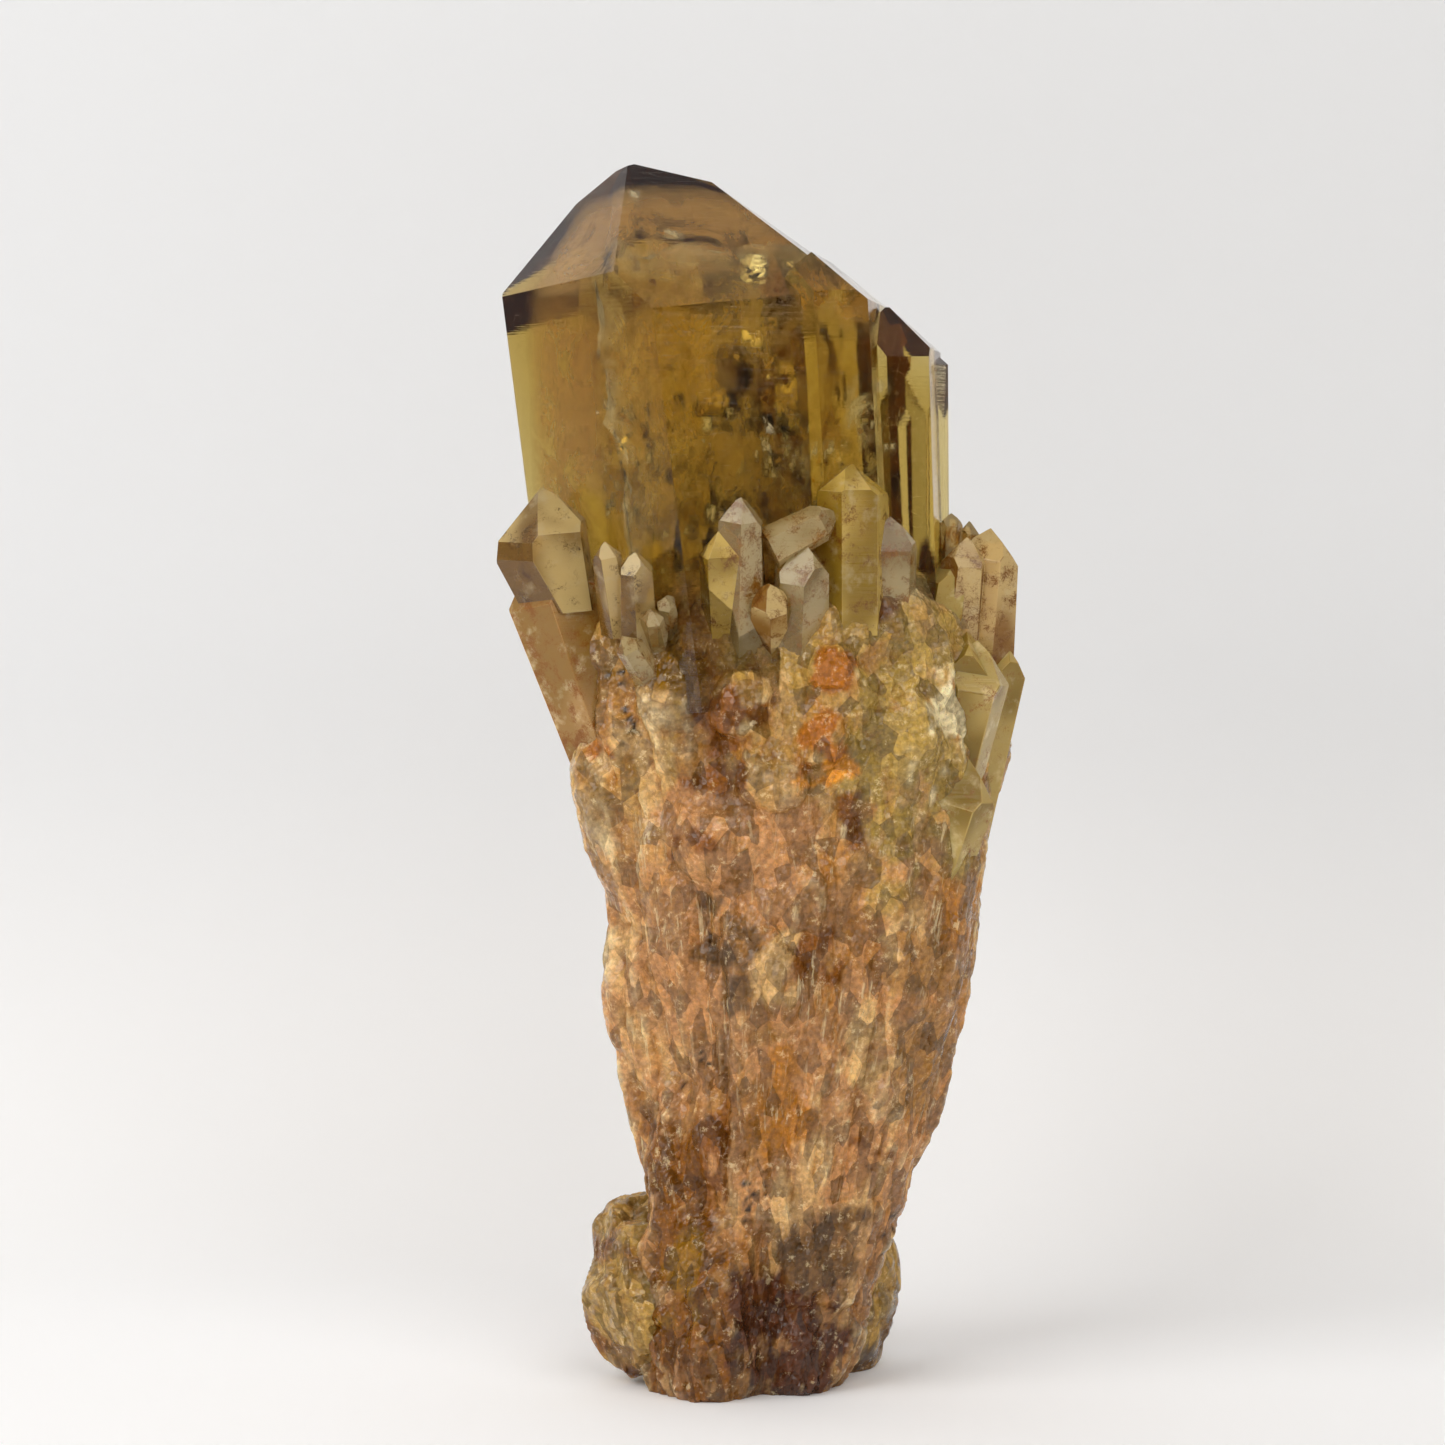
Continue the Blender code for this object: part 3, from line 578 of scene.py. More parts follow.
def grow_crystals():
    """The planes of every crystal and the chips of every lump, in the frame's own order."""
    random = np.random.default_rng(SEED)
    grown = {}
    for name, shape in MAIN_CRYSTALS.items():
        grown[name] = crystal_planes(**shape)
    for name, (tip, foot, radius, turn) in SMALL_CRYSTALS.items():
        grown[name] = regular_planes(tip, foot, radius, turn, BUD_TAPER, END_SLOPE, random)
    for name, (tip, foot, radius, turn) in COLUMNS.items():
        grown[name] = regular_planes(tip, foot, radius, turn, COLUMN_TAPER, END_SLOPE, random)
    for name, (tip, foot, radius, turn) in RIBS.items():
        grown[name] = regular_planes(tip, foot, radius, turn, COLUMN_TAPER, RIB_SLOPE, random)
    for tier, row in enumerate(FAN_TIERS):
        count, first, last, lowest, highest, shortest, longest, bury, slope = row
        for k, degrees in enumerate(np.linspace(first, last, count)):
            angle = math.radians(degrees + random.uniform(-5.0, 5.0))
            radius = random.uniform(*FAN_RADIUS)
            high = random.uniform(lowest, highest)
            low = max(high - random.uniform(shortest, longest), LOWEST_FOOT)
            tip = fan_place(angle, min(high, ROOT_RIM), radius * bury)
            tip[2] = high
            foot = fan_place(angle, low, radius * FOOT_BURY)
            grown[f"fan_{tier}_{k}"] = regular_planes(tip, foot, radius, degrees,
                                                      COLUMN_TAPER, slope, random)
    for k, degrees in enumerate(np.linspace(*BACK, BUDS)):
        angle = math.radians(degrees + random.uniform(-6.0, 6.0))
        radius = random.uniform(*BUD_RADIUS)
        tip = fan_place(angle, ROOT_RIM, radius)
        tip[2] = random.uniform(*BUD_TIPS)
        foot = fan_place(angle, ROOT_RIM, radius + 1.5)
        foot[2] = tip[2] - random.uniform(*BUD_LENGTH)
        grown[f"bud_{k}"] = regular_planes(tip, foot, radius, degrees, BUD_TAPER,
                                           END_SLOPE, random)
    chips = {}
    for name in LUMPS:
        cuts = []
        for _ in range(LUMP_CHIPS):
            normal = random.normal(size=3)
            normal /= np.linalg.norm(normal)
            cuts.append((*normal, random.uniform(*CHIP_DEPTH)))
        chips[name] = np.array(cuts)
    return grown, chips


def shrunk(planes, depth):
    """The same crystal with every face set in by a depth."""
    normals, offsets = planes
    return normals, offsets - depth


# Noise for the relief and the colour
LATTICE = 32
LATTICE_SEED = 5
lattice_random = np.random.default_rng(LATTICE_SEED)
VALUES = lattice_random.uniform(-1.0, 1.0, (LATTICE,) * 3)
SCATTER = lattice_random.uniform(0.1, 0.9, (LATTICE,) * 3 + (3,))
TILTS = lattice_random.uniform(-1.0, 1.0, (LATTICE,) * 3 + (3,))
LIFTS = lattice_random.uniform(-0.5, 0.5, (LATTICE,) * 3)


def at(table, cells):
    """Values of a table that repeats for ever, at whole-number cells."""
    cells = cells % LATTICE
    return table[cells[:, 0], cells[:, 1], cells[:, 2]]


def noise(points):
    """Value noise from -1 to 1: random values at whole numbers, blended by S curves."""
    cell = np.floor(points).astype(int)
    share = points - cell
    share = share * share * (3.0 - 2.0 * share)
    total = np.zeros(len(points))
    for corner in itertools.product((0, 1), repeat=3):
        weight = np.where(corner, share, 1.0 - share).prod(1)
        total += weight * at(VALUES, cell + np.array(corner))
    return total


def layered_noise(points, layers=4):
    """Noise plus finer copies of itself, each half as high and twice as fine."""
    return sum(noise(points * 2.0 ** k + 7.3 * k) * 0.5 ** k for k in range(layers))


def packed_chips(points):
    """Chips packed together, one to a unit cell and each with a tilted flat top and steep
    flanks: the highest chip over each point gives its height, near 0 on the tops."""
    cell = np.floor(points).astype(int)
    height = np.full(len(points), -1.0)
    for step in itertools.product((-1, 0, 1), repeat=3):
        spot = cell + np.array(step)
        away = points - spot - at(SCATTER, spot)
        tilt = at(TILTS, spot)
        top = 0.3 * at(LIFTS, spot) + 0.45 * (away * tilt).sum(1)
        across = np.abs(away + 0.35 * tilt * away[:, [1, 2, 0]])
        flank = 1.1 - CHIP_FLANK * (across.max(1) + 0.35 * across.min(1))
        height = np.maximum(height, np.minimum(top, flank))
    return height


def fan_coordinates(points, stretch):
    """Coordinates that spread with the fan: across, deep, and along times a stretch."""
    rise = points[:, 2] - FAN_ORIGIN[2]
    across = (points[:, 0] - FAN_ORIGIN[0]) / rise * FAN_SCALE
    deep = (points[:, 1] - FAN_ORIGIN[1]) / rise * FAN_SCALE
    return np.stack((across, deep, points[:, 2] * stretch), 1)


# Surfaces worked out by rays
def way_out(origins, rays, planes):
    """How far a ray goes before it leaves a crystal: the nearest plane that it runs out
    through, if it lies past the farthest plane that it comes in by. 0 where it misses."""
    normals, offsets = planes
    speed = rays @ normals.T
    room = offsets - origins @ normals.T
    reach = room / np.where(np.abs(speed) < TINY, TINY, speed)
    leave = np.where(speed > TINY, reach, np.inf).min(1)
    enter = np.where(speed < -TINY, reach, -np.inf).max(1)
    return np.where(leave > np.maximum(enter, 0.0), leave, 0.0)


def way_out_of_lump(origins, rays, centre, radii, chips):
    """The same for a chipped lump, in the space where the lump is a ball of radius 1."""
    centre = np.array(centre)
    radii = np.array(radii)
    start = (origins - centre) / radii
    course = rays / radii
    square = (course ** 2).sum(1)
    half = (start * course).sum(1)
    root = half ** 2 - square * ((start ** 2).sum(1) - 1.0)
    width = np.sqrt(np.maximum(root, 0.0))
    speed = course @ chips[:, :3].T
    reach = (chips[:, 3] - start @ chips[:, :3].T) / np.where(np.abs(speed) < TINY, TINY, speed)
    leave = np.where(speed > TINY, reach, np.inf).min(1)
    enter = np.where(speed < -TINY, reach, -np.inf).max(1)
    leave = np.minimum(leave, (width - half) / square)
    enter = np.maximum(enter, (-width - half) / square)
    return np.where((root > 0.0) & (leave > np.maximum(enter, 0.0)), leave, 0.0)


def spine(height):
    """The middle of the root at a height."""
    left, right, front, back = root_section(height)
    return np.stack((0.5 * (left + right), 0.5 * (front + back), height), 1)


def root_reach_table():
    """How far the plain root reaches from its spine, by height and by direction, with the
    top drawn in so that the clear points stay clear."""
    heights = np.linspace(0.0, ROOT_TOP, ROOT_ROWS)
    turns = np.linspace(0.0, FULL_TURN, ROOT_COURSES, endpoint=False)
    angle, height = np.meshgrid(turns, np.minimum(heights, ROOT_SECTIONS[-1, 0]))
    filled = FRONT_FILL * np.clip(np.cos(angle), 0.0, 1.0)
    inset = np.interp(height, INSET_HEIGHTS, INSETS) * (1.0 - filled)
    x, y = fan_point(angle, height, inset)
    middle = spine(np.minimum(heights, ROOT_SECTIONS[-1, 0]))
    x = x - middle[:, :1]
    y = y - middle[:, 1:2]
    course = np.arctan2(x, -y)
    table = np.stack([np.interp(turns, course[k], np.hypot(x[k], y[k]), period=FULL_TURN)
                      for k in range(len(heights))])
    closing = 1.0 - smooth_step(DOME_START, DOME_TOP, heights)
    return table * closing[:, None]


def way_out_of_root(origins, rays):
    """The same for the plain root, by halving the range between in and out."""
    table = root_reach_table()
    course = np.degrees(np.arctan2(rays[:, 0], -rays[:, 1])).round().astype(int) % ROOT_COURSES
    flat = np.hypot(rays[:, 0], rays[:, 1])
    inner = np.zeros(len(rays))
    outer = np.full(len(rays), FARTHEST_OUT)
    for _ in range(HALVINGS):
        middle = 0.5 * (inner + outer)
        height = origins[:, 2] + middle * rays[:, 2]
        level = np.clip(height, 0.0, ROOT_TOP - 0.001)
        row = np.floor(level).astype(int)
        reach = table[row, course] * (row + 1 - level) + table[row + 1, course] * (level - row)
        inside = (middle * flat < reach) & (height < ROOT_TOP)
        inner = np.where(inside, middle, inner)
        outer = np.where(inside, outer, middle)
    return inner


def shell_faces(rings, steps):
    """Faces of a closed shell: a pole, rings of steps points from low to high, a pole."""
    k = np.arange(steps)
    after = (k + 1) % steps
    starts = 1 + steps * np.arange(rings - 1)[:, None]
    quads = np.stack((starts + k, starts + after, starts + steps + after, starts + steps + k), 2)
    last = 1 + steps * (rings - 1)
    bottom = np.stack((np.zeros(steps, int), 1 + after, 1 + k), 1)
    top = np.stack((last + k, last + after, np.full(steps, last + steps)), 1)
    return quads.reshape(-1, 4).tolist() + bottom.tolist() + top.tolist()


def soften(grid, times):
    """The mean of each grid value and its neighbours, several times, closed round a ring."""
    for _ in range(times):
        padded = np.pad(grid, ((1, 1), (0, 0)), mode="edge")
        grid = (grid + padded[:-2] + padded[2:] + np.roll(grid, 1, 1) + np.roll(grid, -1, 1)) / 5.0
    return grid


def stone_relief(points):
    """Height of the stone's relief: in the fan, long splinters that spread with it; in the
    base and the crown, blocks that point every way. Each layer lies on the coarser one."""
    height = points[:, 2] + 4.0 * noise(points / 9.0)
    share = 1.0 - smooth_step(*BASE_BLEND, height)
    share += CROWN_SHARE * smooth_step(*CROWN_BLEND, height)
    splinters = np.zeros(len(points))
    for k, (size, stretch, amount) in enumerate(SPLINTER_LAYERS):
        place = fan_coordinates(points, stretch) / size + 11.7 * k
        bent = place + 0.25 * noise(place * 0.8 + 3.0)[:, None]
        splinters += amount * packed_chips(bent)
    blocks = np.zeros(len(points))
    for k, (size, stretch, amount) in enumerate(BLOCK_LAYERS):
        place = points * (1.0, 1.0, stretch) / size + 6.3 * k
        blocks += amount * packed_chips(place)
    return np.clip(splinters * (1.0 - share) + blocks * share, *RELIEF_RANGE)


def stone_solids(grown):
    """The crystals that the stone's surface follows, those with a clear skin set in."""
    solids = {}
    for name, planes in grown.items():
        if name in COLUMNS or name in RIBS or name.startswith("fan_"):
            skin = COLUMN_SKIN if name in PALE_COLUMNS + WARM_COLUMNS else 0.0
            solids[name] = shrunk(planes, skin)
    return solids


def stone_rays():
    """Origins and directions of the rays: level ones up the spine, then a dome."""
    turns = np.linspace(0.0, FULL_TURN, RING_STEPS, endpoint=False)
    base = np.zeros(BASE_RINGS)
    side = np.linspace(0.0, SPINE_TOP, SIDE_RINGS)
    heights = np.concatenate((base, side, np.full(TOP_RINGS, SPINE_TOP)))
    climb = np.linspace(0.0, 0.5 * math.pi, TOP_RINGS + 2)[1:-1]
    lifts = np.concatenate((np.zeros(BASE_RINGS + SIDE_RINGS), climb))
    turn, height = np.meshgrid(turns, heights)
    lift = np.repeat(lifts, RING_STEPS)
    turn = turn.ravel()
    rays = np.stack((np.sin(turn) * np.cos(lift), -np.cos(turn) * np.cos(lift), np.sin(lift)), 1)
    return spine(height.ravel()), rays


def paint(points, rays, hollow):
    """The stone's colour: streaks along the fan, patches on the show face, rust in hollows, brown
    in the deepest hollows as painted shade, white on the crests as painted highlight, and white on
    the top under the points, partly milky quartz and partly painted light.
    """
    streak = layered_noise(fan_coordinates(points, 0.12) / 6.0)
    fine = layered_noise(fan_coordinates(points, 0.35) / 2.2 + 9.0)
    cloud = layered_noise(points / 14.0 + 3.0)
    ragged = layered_noise(points / 3.4 + 21.0)
    tint = np.tile(plain_colour("pink"), (len(points), 1))

    def lay(name, mask):
        share = np.clip(mask, 0.0, 1.0)[:, None]
        tint[:] = tint * (1.0 - share) + plain_colour(name) * share

    lay("quartz", smooth_step(62.0, 84.0, points[:, 2] + 8.0 * cloud) * 0.8)
    lay("cream", smooth_step(0.05, 0.6, streak + 0.3 * ragged) * 0.85)
    lay("beige", smooth_step(0.05, 0.6, -streak + 0.3 * cloud) * 0.9)
    lay("ochre", smooth_step(0.25, 0.7, fine + 0.5 * cloud) * 0.5)
    lay("grey", smooth_step(30.0, 8.0, points[:, 2]) * 0.5)
    lay("ochre", smooth_step(0.1, 0.5, hollow + 0.3 * fine) * 0.5)
    lay("rust", smooth_step(0.3, 0.9, hollow + 0.4 * ragged) * 0.5)
    # Painted shade and highlight: brown darkens the deepest hollows over the iron stain, and white
    # lightens the raised crests
    lay("brown", smooth_step(0.7, 1.5, hollow + 0.4 * ragged) * 0.5)
    lay("white", smooth_step(0.1, 0.6, -hollow + 0.25 * ragged) * 0.5)
    front = smooth_step(-0.1, 0.45, -rays[:, 1])
    warp = PATCH_WARP * np.stack([layered_noise(points / 4.0 + 17.0 * k) for k in range(2)], 1)
    x = points[:, 0] + warp[:, 0]
    z = points[:, 2] + 1.4 * warp[:, 1]
    lines = 1.0 - smooth_step(0.03, 0.14, np.abs(layered_noise(points / 3.2 + 40.0)))
    for name, at_x, at_z, wide, high, strength in PATCHES:
        fade = np.exp(-((x - at_x) / wide) ** 2 - ((z - at_z) / high) ** 2)
        rough = fade * strength * (1.0 + 0.8 * ragged + 0.5 * fine)
        shown = smooth_step(0.28, 0.66, rough)
        if name in BRANCHING:
            shown = shown * lines
        lay(name, front * shown)
    # More rust stain in the hollows, with brown as painted shade in the deepest
    lay("rust", smooth_step(0.5, 1.1, hollow + 0.4 * ragged) * 0.35)
    lay("brown", smooth_step(1.0, 1.8, hollow + 0.4 * ragged) * 0.5)
    # White on the stone's top under the clear points: partly milky quartz, partly painted light,
    # as that top lies in shade under the glass
    lay("white", smooth_step(101.0, 106.0, points[:, 2]) * smooth_step(-0.4, 0.2, cloud + 0.3))
    return tint


def ride_stone(piece):
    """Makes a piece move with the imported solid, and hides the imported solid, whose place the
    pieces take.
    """
    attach(piece, "root")
    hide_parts(NODE)


def add_piece(name, points, faces, material, floats=None, colours=None):
    """A finished piece from points in millimetres, riding the stone as a part of it."""
    mesh = bpy.data.meshes.new(name)
    mesh.from_pydata(points * MM, [], faces)
    for label, values in (floats or {}).items():
        attribute = mesh.attributes.new(label, "FLOAT", "POINT")
        attribute.data.foreach_set("value", values.astype(np.float32))
    for label, values in (colours or {}).items():
        attribute = mesh.attributes.new(label, "FLOAT_COLOR", "POINT")
        rows = np.column_stack((values, np.ones(len(values))))
        attribute.data.foreach_set("color", rows.astype(np.float32).ravel())
    mesh.materials.append(material)
    piece = bpy.data.objects.new(name, mesh)
    bpy.context.scene.collection.objects.link(piece)
    ride_stone(piece)


def keep_in_box(points):
    """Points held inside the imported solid's box."""
    low = np.array(CAD_BOX[0]) / MM + BOX_MARGIN
    high = np.array(CAD_BOX[1]) / MM - BOX_MARGIN
    low[2] = 0.0
    return np.clip(points, low, high)


def make_stone(grown, chips, material):
    """The fan: the longest way out of the root, its columns, ribs and crust lumps along
    each ray, changed by the relief, and flat where it rests."""
    origins, rays = stone_rays()
    reach = way_out_of_root(origins, rays)
    for planes in stone_solids(grown).values():
        reach = np.maximum(reach, way_out(origins, rays, planes))
    for name, (centre, radii) in LUMPS.items():
        if name not in LOBES:
            far = way_out_of_lump(origins, rays, centre, radii, chips[name])
            reach = np.maximum(reach, far)
    rings = BASE_RINGS + SIDE_RINGS + TOP_RINGS
    grid = reach.reshape(rings, RING_STEPS)
    mass = soften(grid, MASS_SOFTENING)
    grid = mass + np.clip(grid - mass, *MASS_RANGE)
    relief = stone_relief(origins + rays * grid.reshape(-1, 1))
    grid = grid + relief.reshape(rings, RING_STEPS)
    share = np.ones(rings)
    share[:BASE_RINGS] = np.linspace(*BASE_SHARES, BASE_RINGS)
    hollow = (soften(grid, HOLLOW_SOFTENING) - grid).ravel()
    reach = (grid * share[:, None]).ravel()
    points = keep_in_box(origins + rays * reach[:, None])
    bottom = spine(np.zeros(1))
    top = points[-RING_STEPS:].mean(0, keepdims=True)
    tint = paint(points, rays, hollow)
    points = np.vstack((bottom, points, top))
    tint = np.vstack((tint[:1], tint, tint[-1:]))
    hollow = np.concatenate(([0.0], hollow, [0.0]))
    faces = shell_faces(rings, RING_STEPS)
    add_piece("root_stone", points, faces, material, {"hollow": hollow}, {"tint": tint})


def make_lobes(chips, material):
    """The lobes of the broken end: balls stretched and chipped, then broken and etched."""
    turns = np.linspace(0.0, FULL_TURN, LOBE_STEPS, endpoint=False)
    lifts = np.linspace(-0.5 * math.pi, 0.5 * math.pi, LOBE_RINGS + 2)[1:-1]
    turn, lift = np.meshgrid(turns, lifts)
    rays = np.stack((np.sin(turn) * np.cos(lift), -np.cos(turn) * np.cos(lift),
                     np.sin(lift)), 2).reshape(-1, 3)
    for name in LOBES:
        centre, radii = LUMPS[name]
        origins = np.tile(np.array(centre), (len(rays), 1))
        reach = way_out_of_lump(origins, rays, centre, radii, chips[name])
        points = origins + rays * reach[:, None]
        relief = sum(high * packed_chips(points / size + shift)
                     for size, shift, high in LOBE_LAYERS)
        relief = np.clip(relief + LOBE_GRAIN * layered_noise(points / 2.0), *LOBE_RANGE)
        grid = (reach + relief).reshape(LOBE_RINGS, LOBE_STEPS)
        hollow = (soften(grid, LOBE_SOFTENING) - grid).ravel()
        points = origins + rays * grid.reshape(-1, 1)
        first, second = [plain_colour(finish) for finish in LOBE_FINISHES[name]]
        cloud = smooth_step(-0.3, 0.5, layered_noise(points / 6.0 + 2.0))[:, None]
        tint = first * (1.0 - cloud) + second * cloud
        rust = plain_colour("rust")
        stain = 0.75 * smooth_step(0.2, 1.1, hollow + 0.5 * layered_noise(points / 1.5))[:, None]
        tint = tint * (1.0 - stain) + rust * stain
        poles = np.array([points[:LOBE_STEPS].mean(0), points[-LOBE_STEPS:].mean(0)])
        points = keep_in_box(np.vstack((poles[:1], points, poles[1:])))
        tint = np.vstack((tint[:1], tint, tint[-1:]))
        hollow = np.concatenate(([0.0], hollow, [0.0]))
        add_piece("base_" + name.replace("lump", "lobe"), points,
                  shell_faces(LOBE_RINGS, LOBE_STEPS), material,
                  {"hollow": hollow}, {"tint": tint})


def polyhedron(planes):
    """A crystal's corners, where three planes meet inside all others, and its faces, the
    corners on each plane taken in turn round it."""
    normals, offsets = planes
    triples = np.array(list(itertools.combinations(range(len(normals)), 3)))
    meets = np.abs(np.linalg.det(normals[triples])) > 1e-5
    triples = triples[meets]
    corners = np.linalg.solve(normals[triples], offsets[triples][..., None])[..., 0]
    corners = corners[(corners @ normals.T <= offsets + 1e-6).all(1)]
    corners = np.unique(corners.round(4), axis=0)
    faces = []
    for normal, offset in zip(normals, offsets):
        on = np.flatnonzero(np.abs(corners @ normal - offset) < 1e-3)
        if len(on) < 3:
            continue
        spread = corners[on] - corners[on].mean(0)
        first = np.cross(normal, (0.3, 0.5, 0.8))
        second = np.cross(normal, first)
        turn = np.arctan2(spread @ second, spread @ first)
        faces.append(on[np.argsort(turn)].tolist())
    return corners, faces


def join_crystals(name, members, grown, material):
    """Crystals of one kind joined in one closed mesh, with slightly worn edges."""
    scratch = bpy.data.collections.new(name + "_members")
    for member in members[1:]:
        corners, faces = polyhedron(grown[member])
        mesh = bpy.data.meshes.new(member)
        mesh.from_pydata(corners * MM, [], faces)
        scratch.objects.link(bpy.data.objects.new(member, mesh))
    corners, faces = polyhedron(grown[members[0]])
    mesh = bpy.data.meshes.new(name)
    mesh.from_pydata(corners * MM, [], faces)
    first = bpy.data.objects.new(name, mesh)
    bpy.context.scene.collection.objects.link(first)
    if len(members) > 1:
        union = first.modifiers.new("joined", "BOOLEAN")
        union.operation = "UNION"
        union.solver = "EXACT"
        union.operand_type = "COLLECTION"
        union.collection = scratch
    worn = first.modifiers.new("worn_edges", "BEVEL")
    worn.width = WORN_EDGE * MM
    worn.segments = 2
    worn.limit_method = "ANGLE"
    worn.angle_limit = math.radians(WORN_ANGLE)
    bpy.context.view_layer.update()
    shown = first.evaluated_get(bpy.context.evaluated_depsgraph_get())
    finished = bpy.data.meshes.new_from_object(shown)
    first.modifiers.clear()
    first.data = finished
    finished.materials.clear()
    finished.materials.append(material)
    for item in list(scratch.objects):
        bpy.data.objects.remove(item)
    bpy.data.collections.remove(scratch)
    ride_stone(first)


def in_clear_point(place, grown):
    """Whether a place lies inside one of the large points, past the veils' own depth."""
    for member in CLEAR_GROUPS["main_points"]:
        normals, offsets = grown[member]
        if (normals @ np.array(place) < offsets - 2.0 * VEIL_DEPTH).all():
            return True
    return False


def scatter_flakes(count, middle, half, sizes, random):
    """Rows of small veils with random places, sizes, turns and leans in a region."""
    places = np.array(middle) + random.uniform(-1.0, 1.0, (count, 3)) * np.array(half)
    wide = random.uniform(*sizes, count)
    high = wide * random.uniform(0.5, 2.2, count)
    turns = random.uniform(-45.0, 45.0, count)
    leans = random.uniform(-20.0, 55.0, count)
    return list(zip(places, wide, high, turns, leans, 0.12 * wide))


def make_veils(name, rows, grown, material, steps=VEIL_GRID):
    """Thin sheets inside the clear points: flat rectangles, turned about the upright, leant
    and bent by noise, drawn in towards their middle where they would leave the crystal,
    each closed by a back face that lies a hair behind its front."""
    side = np.linspace(-1.0, 1.0, steps)
    s, t = [grid.ravel() for grid in np.meshgrid(side, side)]
    points = []
    fades = []
    faces = []
    quads = grid_quads(steps, steps)
    rim = grid_rim(steps, steps)
    after = np.roll(rim, -1)
    count = steps ** 2
    inside = [row for row in rows if in_clear_point(row[0], grown)]
    for k, (middle, wide, high, turn, lean, bend) in enumerate(inside):
        turn = math.radians(turn)
        lean = math.radians(lean)
        across = np.array((math.cos(turn), math.sin(turn), 0.0))
        out = np.array((math.sin(turn), -math.cos(turn), 0.0))
        up = np.array((0.0, 0.0, 1.0)) * math.cos(lean) - out * math.sin(lean)
        face_on = np.cross(across, up)
        sheet = np.array(middle) + np.outer(s * wide, across) + np.outer(t * high, up)
        sheet += np.outer(bend * layered_noise(sheet / 5.0 + 3.0 * k), face_on)
        start = np.tile(np.array(middle), (count, 1))
        room = np.zeros(count)
        for member in CLEAR_GROUPS["main_points"]:
            skin = shrunk(grown[member], VEIL_DEPTH)
            room = np.maximum(room, way_out(start, sheet - start, skin))
        sheet = start + (sheet - start) * np.minimum(room, 1.0)[:, None]
        points += [sheet, sheet - face_on * VEIL_THICKNESS]
        fades += [np.clip(1.3 * (1.0 - s ** 2) * (1.0 - t ** 2), 0.0, 1.0)] * 2
        base = 2 * count * k
        faces += (quads + base).tolist()
        faces += (quads[:, ::-1] + base + count).tolist()
        walls = np.stack((rim, rim + count, after + count, after), 1)
        faces += (walls + base).tolist()
    add_piece(name, np.vstack(points), faces, material, {"fade": np.concatenate(fades)})


def grid_quads(rows, columns):
    """Quads of a grid whose points run along the columns first."""
    first = (np.arange(rows - 1)[:, None] * columns + np.arange(columns - 1)).ravel()
    return np.stack((first, first + 1, first + columns + 1, first + columns), 1)


def grid_rim(rows, columns):
    """The grid's rim, taken once round."""
    index = np.arange(rows * columns).reshape(rows, columns)
    return np.concatenate((index[0, :-1], index[:-1, -1], index[-1, :0:-1], index[:0:-1, 0]))


# Shader node groups
def node(tree, kind, settings=None, inputs=None):
    """A node with its settings, and its inputs as plain values or as links."""
    made = tree.nodes.new(kind)
    for label, value in (settings or {}).items():
        setattr(made, label, value)
    for label, value in (inputs or {}).items():
        if isinstance(value, bpy.types.NodeSocket):
            tree.links.new(value, made.inputs[label])
        else:
            made.inputs[label].default_value = value
    return made


def math_node(tree, operation, first, second=0.0):
    return node(tree, "ShaderNodeMath", {"operation": operation},
                {0: first, 1: second}).outputs[0]


def vector_node(tree, operation, first, second=(0.0, 0.0, 0.0)):
    made = node(tree, "ShaderNodeVectorMath", {"operation": operation}, {0: first, 1: second})
    return made.outputs["Value" if operation == "DOT_PRODUCT" else "Vector"]


def range_node(tree, value, low, high, to_low=0.0, to_high=1.0):
    """A value moved from one range to another by an S curve."""
    return node(tree, "ShaderNodeMapRange", {"interpolation_type": "SMOOTHSTEP"},
                {"Value": value, "From Min": low, "From Max": high,
                 "To Min": to_low, "To Max": to_high}).outputs["Result"]


def mix_node(tree, share, first, second):
    """A blend of two colours."""
    return node(tree, "ShaderNodeMix", {"data_type": "RGBA"},
                {0: share, 6: first, 7: second}).outputs[2]


def noise_node(tree, vector, scale, detail=4.0, roughness=0.6, distortion=0.0):
    return node(tree, "ShaderNodeTexNoise", None,
                {"Vector": vector, "Scale": scale, "Detail": detail,
                 "Roughness": roughness, "Distortion": distortion}).outputs["Fac"]


def new_group(name, inputs, outputs):
    """An empty node group with named sockets, its tree, its input and its output node."""
    tree = bpy.data.node_groups.new(name, "ShaderNodeTree")
    for label, kind, value in inputs:
        socket = tree.interface.new_socket(label, in_out="INPUT", socket_type=kind)
        if value is not None:
            socket.default_value = value
    for label, kind in outputs:
        tree.interface.new_socket(label, in_out="OUTPUT", socket_type=kind)
    return tree, tree.nodes.new("NodeGroupInput"), tree.nodes.new("NodeGroupOutput")


def fan_space_group():
    """Object position in millimetres, in coordinates that spread with the fan."""
    tree, source, result = new_group(
        "fan_space", [("Stretch", "NodeSocketFloat", 0.3)],
        [("Vector", "NodeSocketVector"), ("Place", "NodeSocketVector")])
    place = node(tree, "ShaderNodeTexCoord").outputs["Object"]
    place = vector_node(tree, "SCALE", place)
    place.node.inputs["Scale"].default_value = 1.0 / MM
    parts = node(tree, "ShaderNodeSeparateXYZ", None, {0: place}).outputs
    rise = math_node(tree, "ADD", parts[2], -float(FAN_ORIGIN[2]))
    grow = math_node(tree, "DIVIDE", FAN_SCALE, rise)
    across = math_node(tree, "ADD", parts[0], -float(FAN_ORIGIN[0]))
    across = math_node(tree, "MULTIPLY", across, grow)
    deep = math_node(tree, "MULTIPLY", parts[1], grow)
    along = math_node(tree, "MULTIPLY", parts[2], source.outputs["Stretch"])
    joined = node(tree, "ShaderNodeCombineXYZ", None, {0: across, 1: deep, 2: along}).outputs[0]
    tree.links.new(joined, result.inputs["Vector"])
    tree.links.new(place, result.inputs["Place"])
    return tree


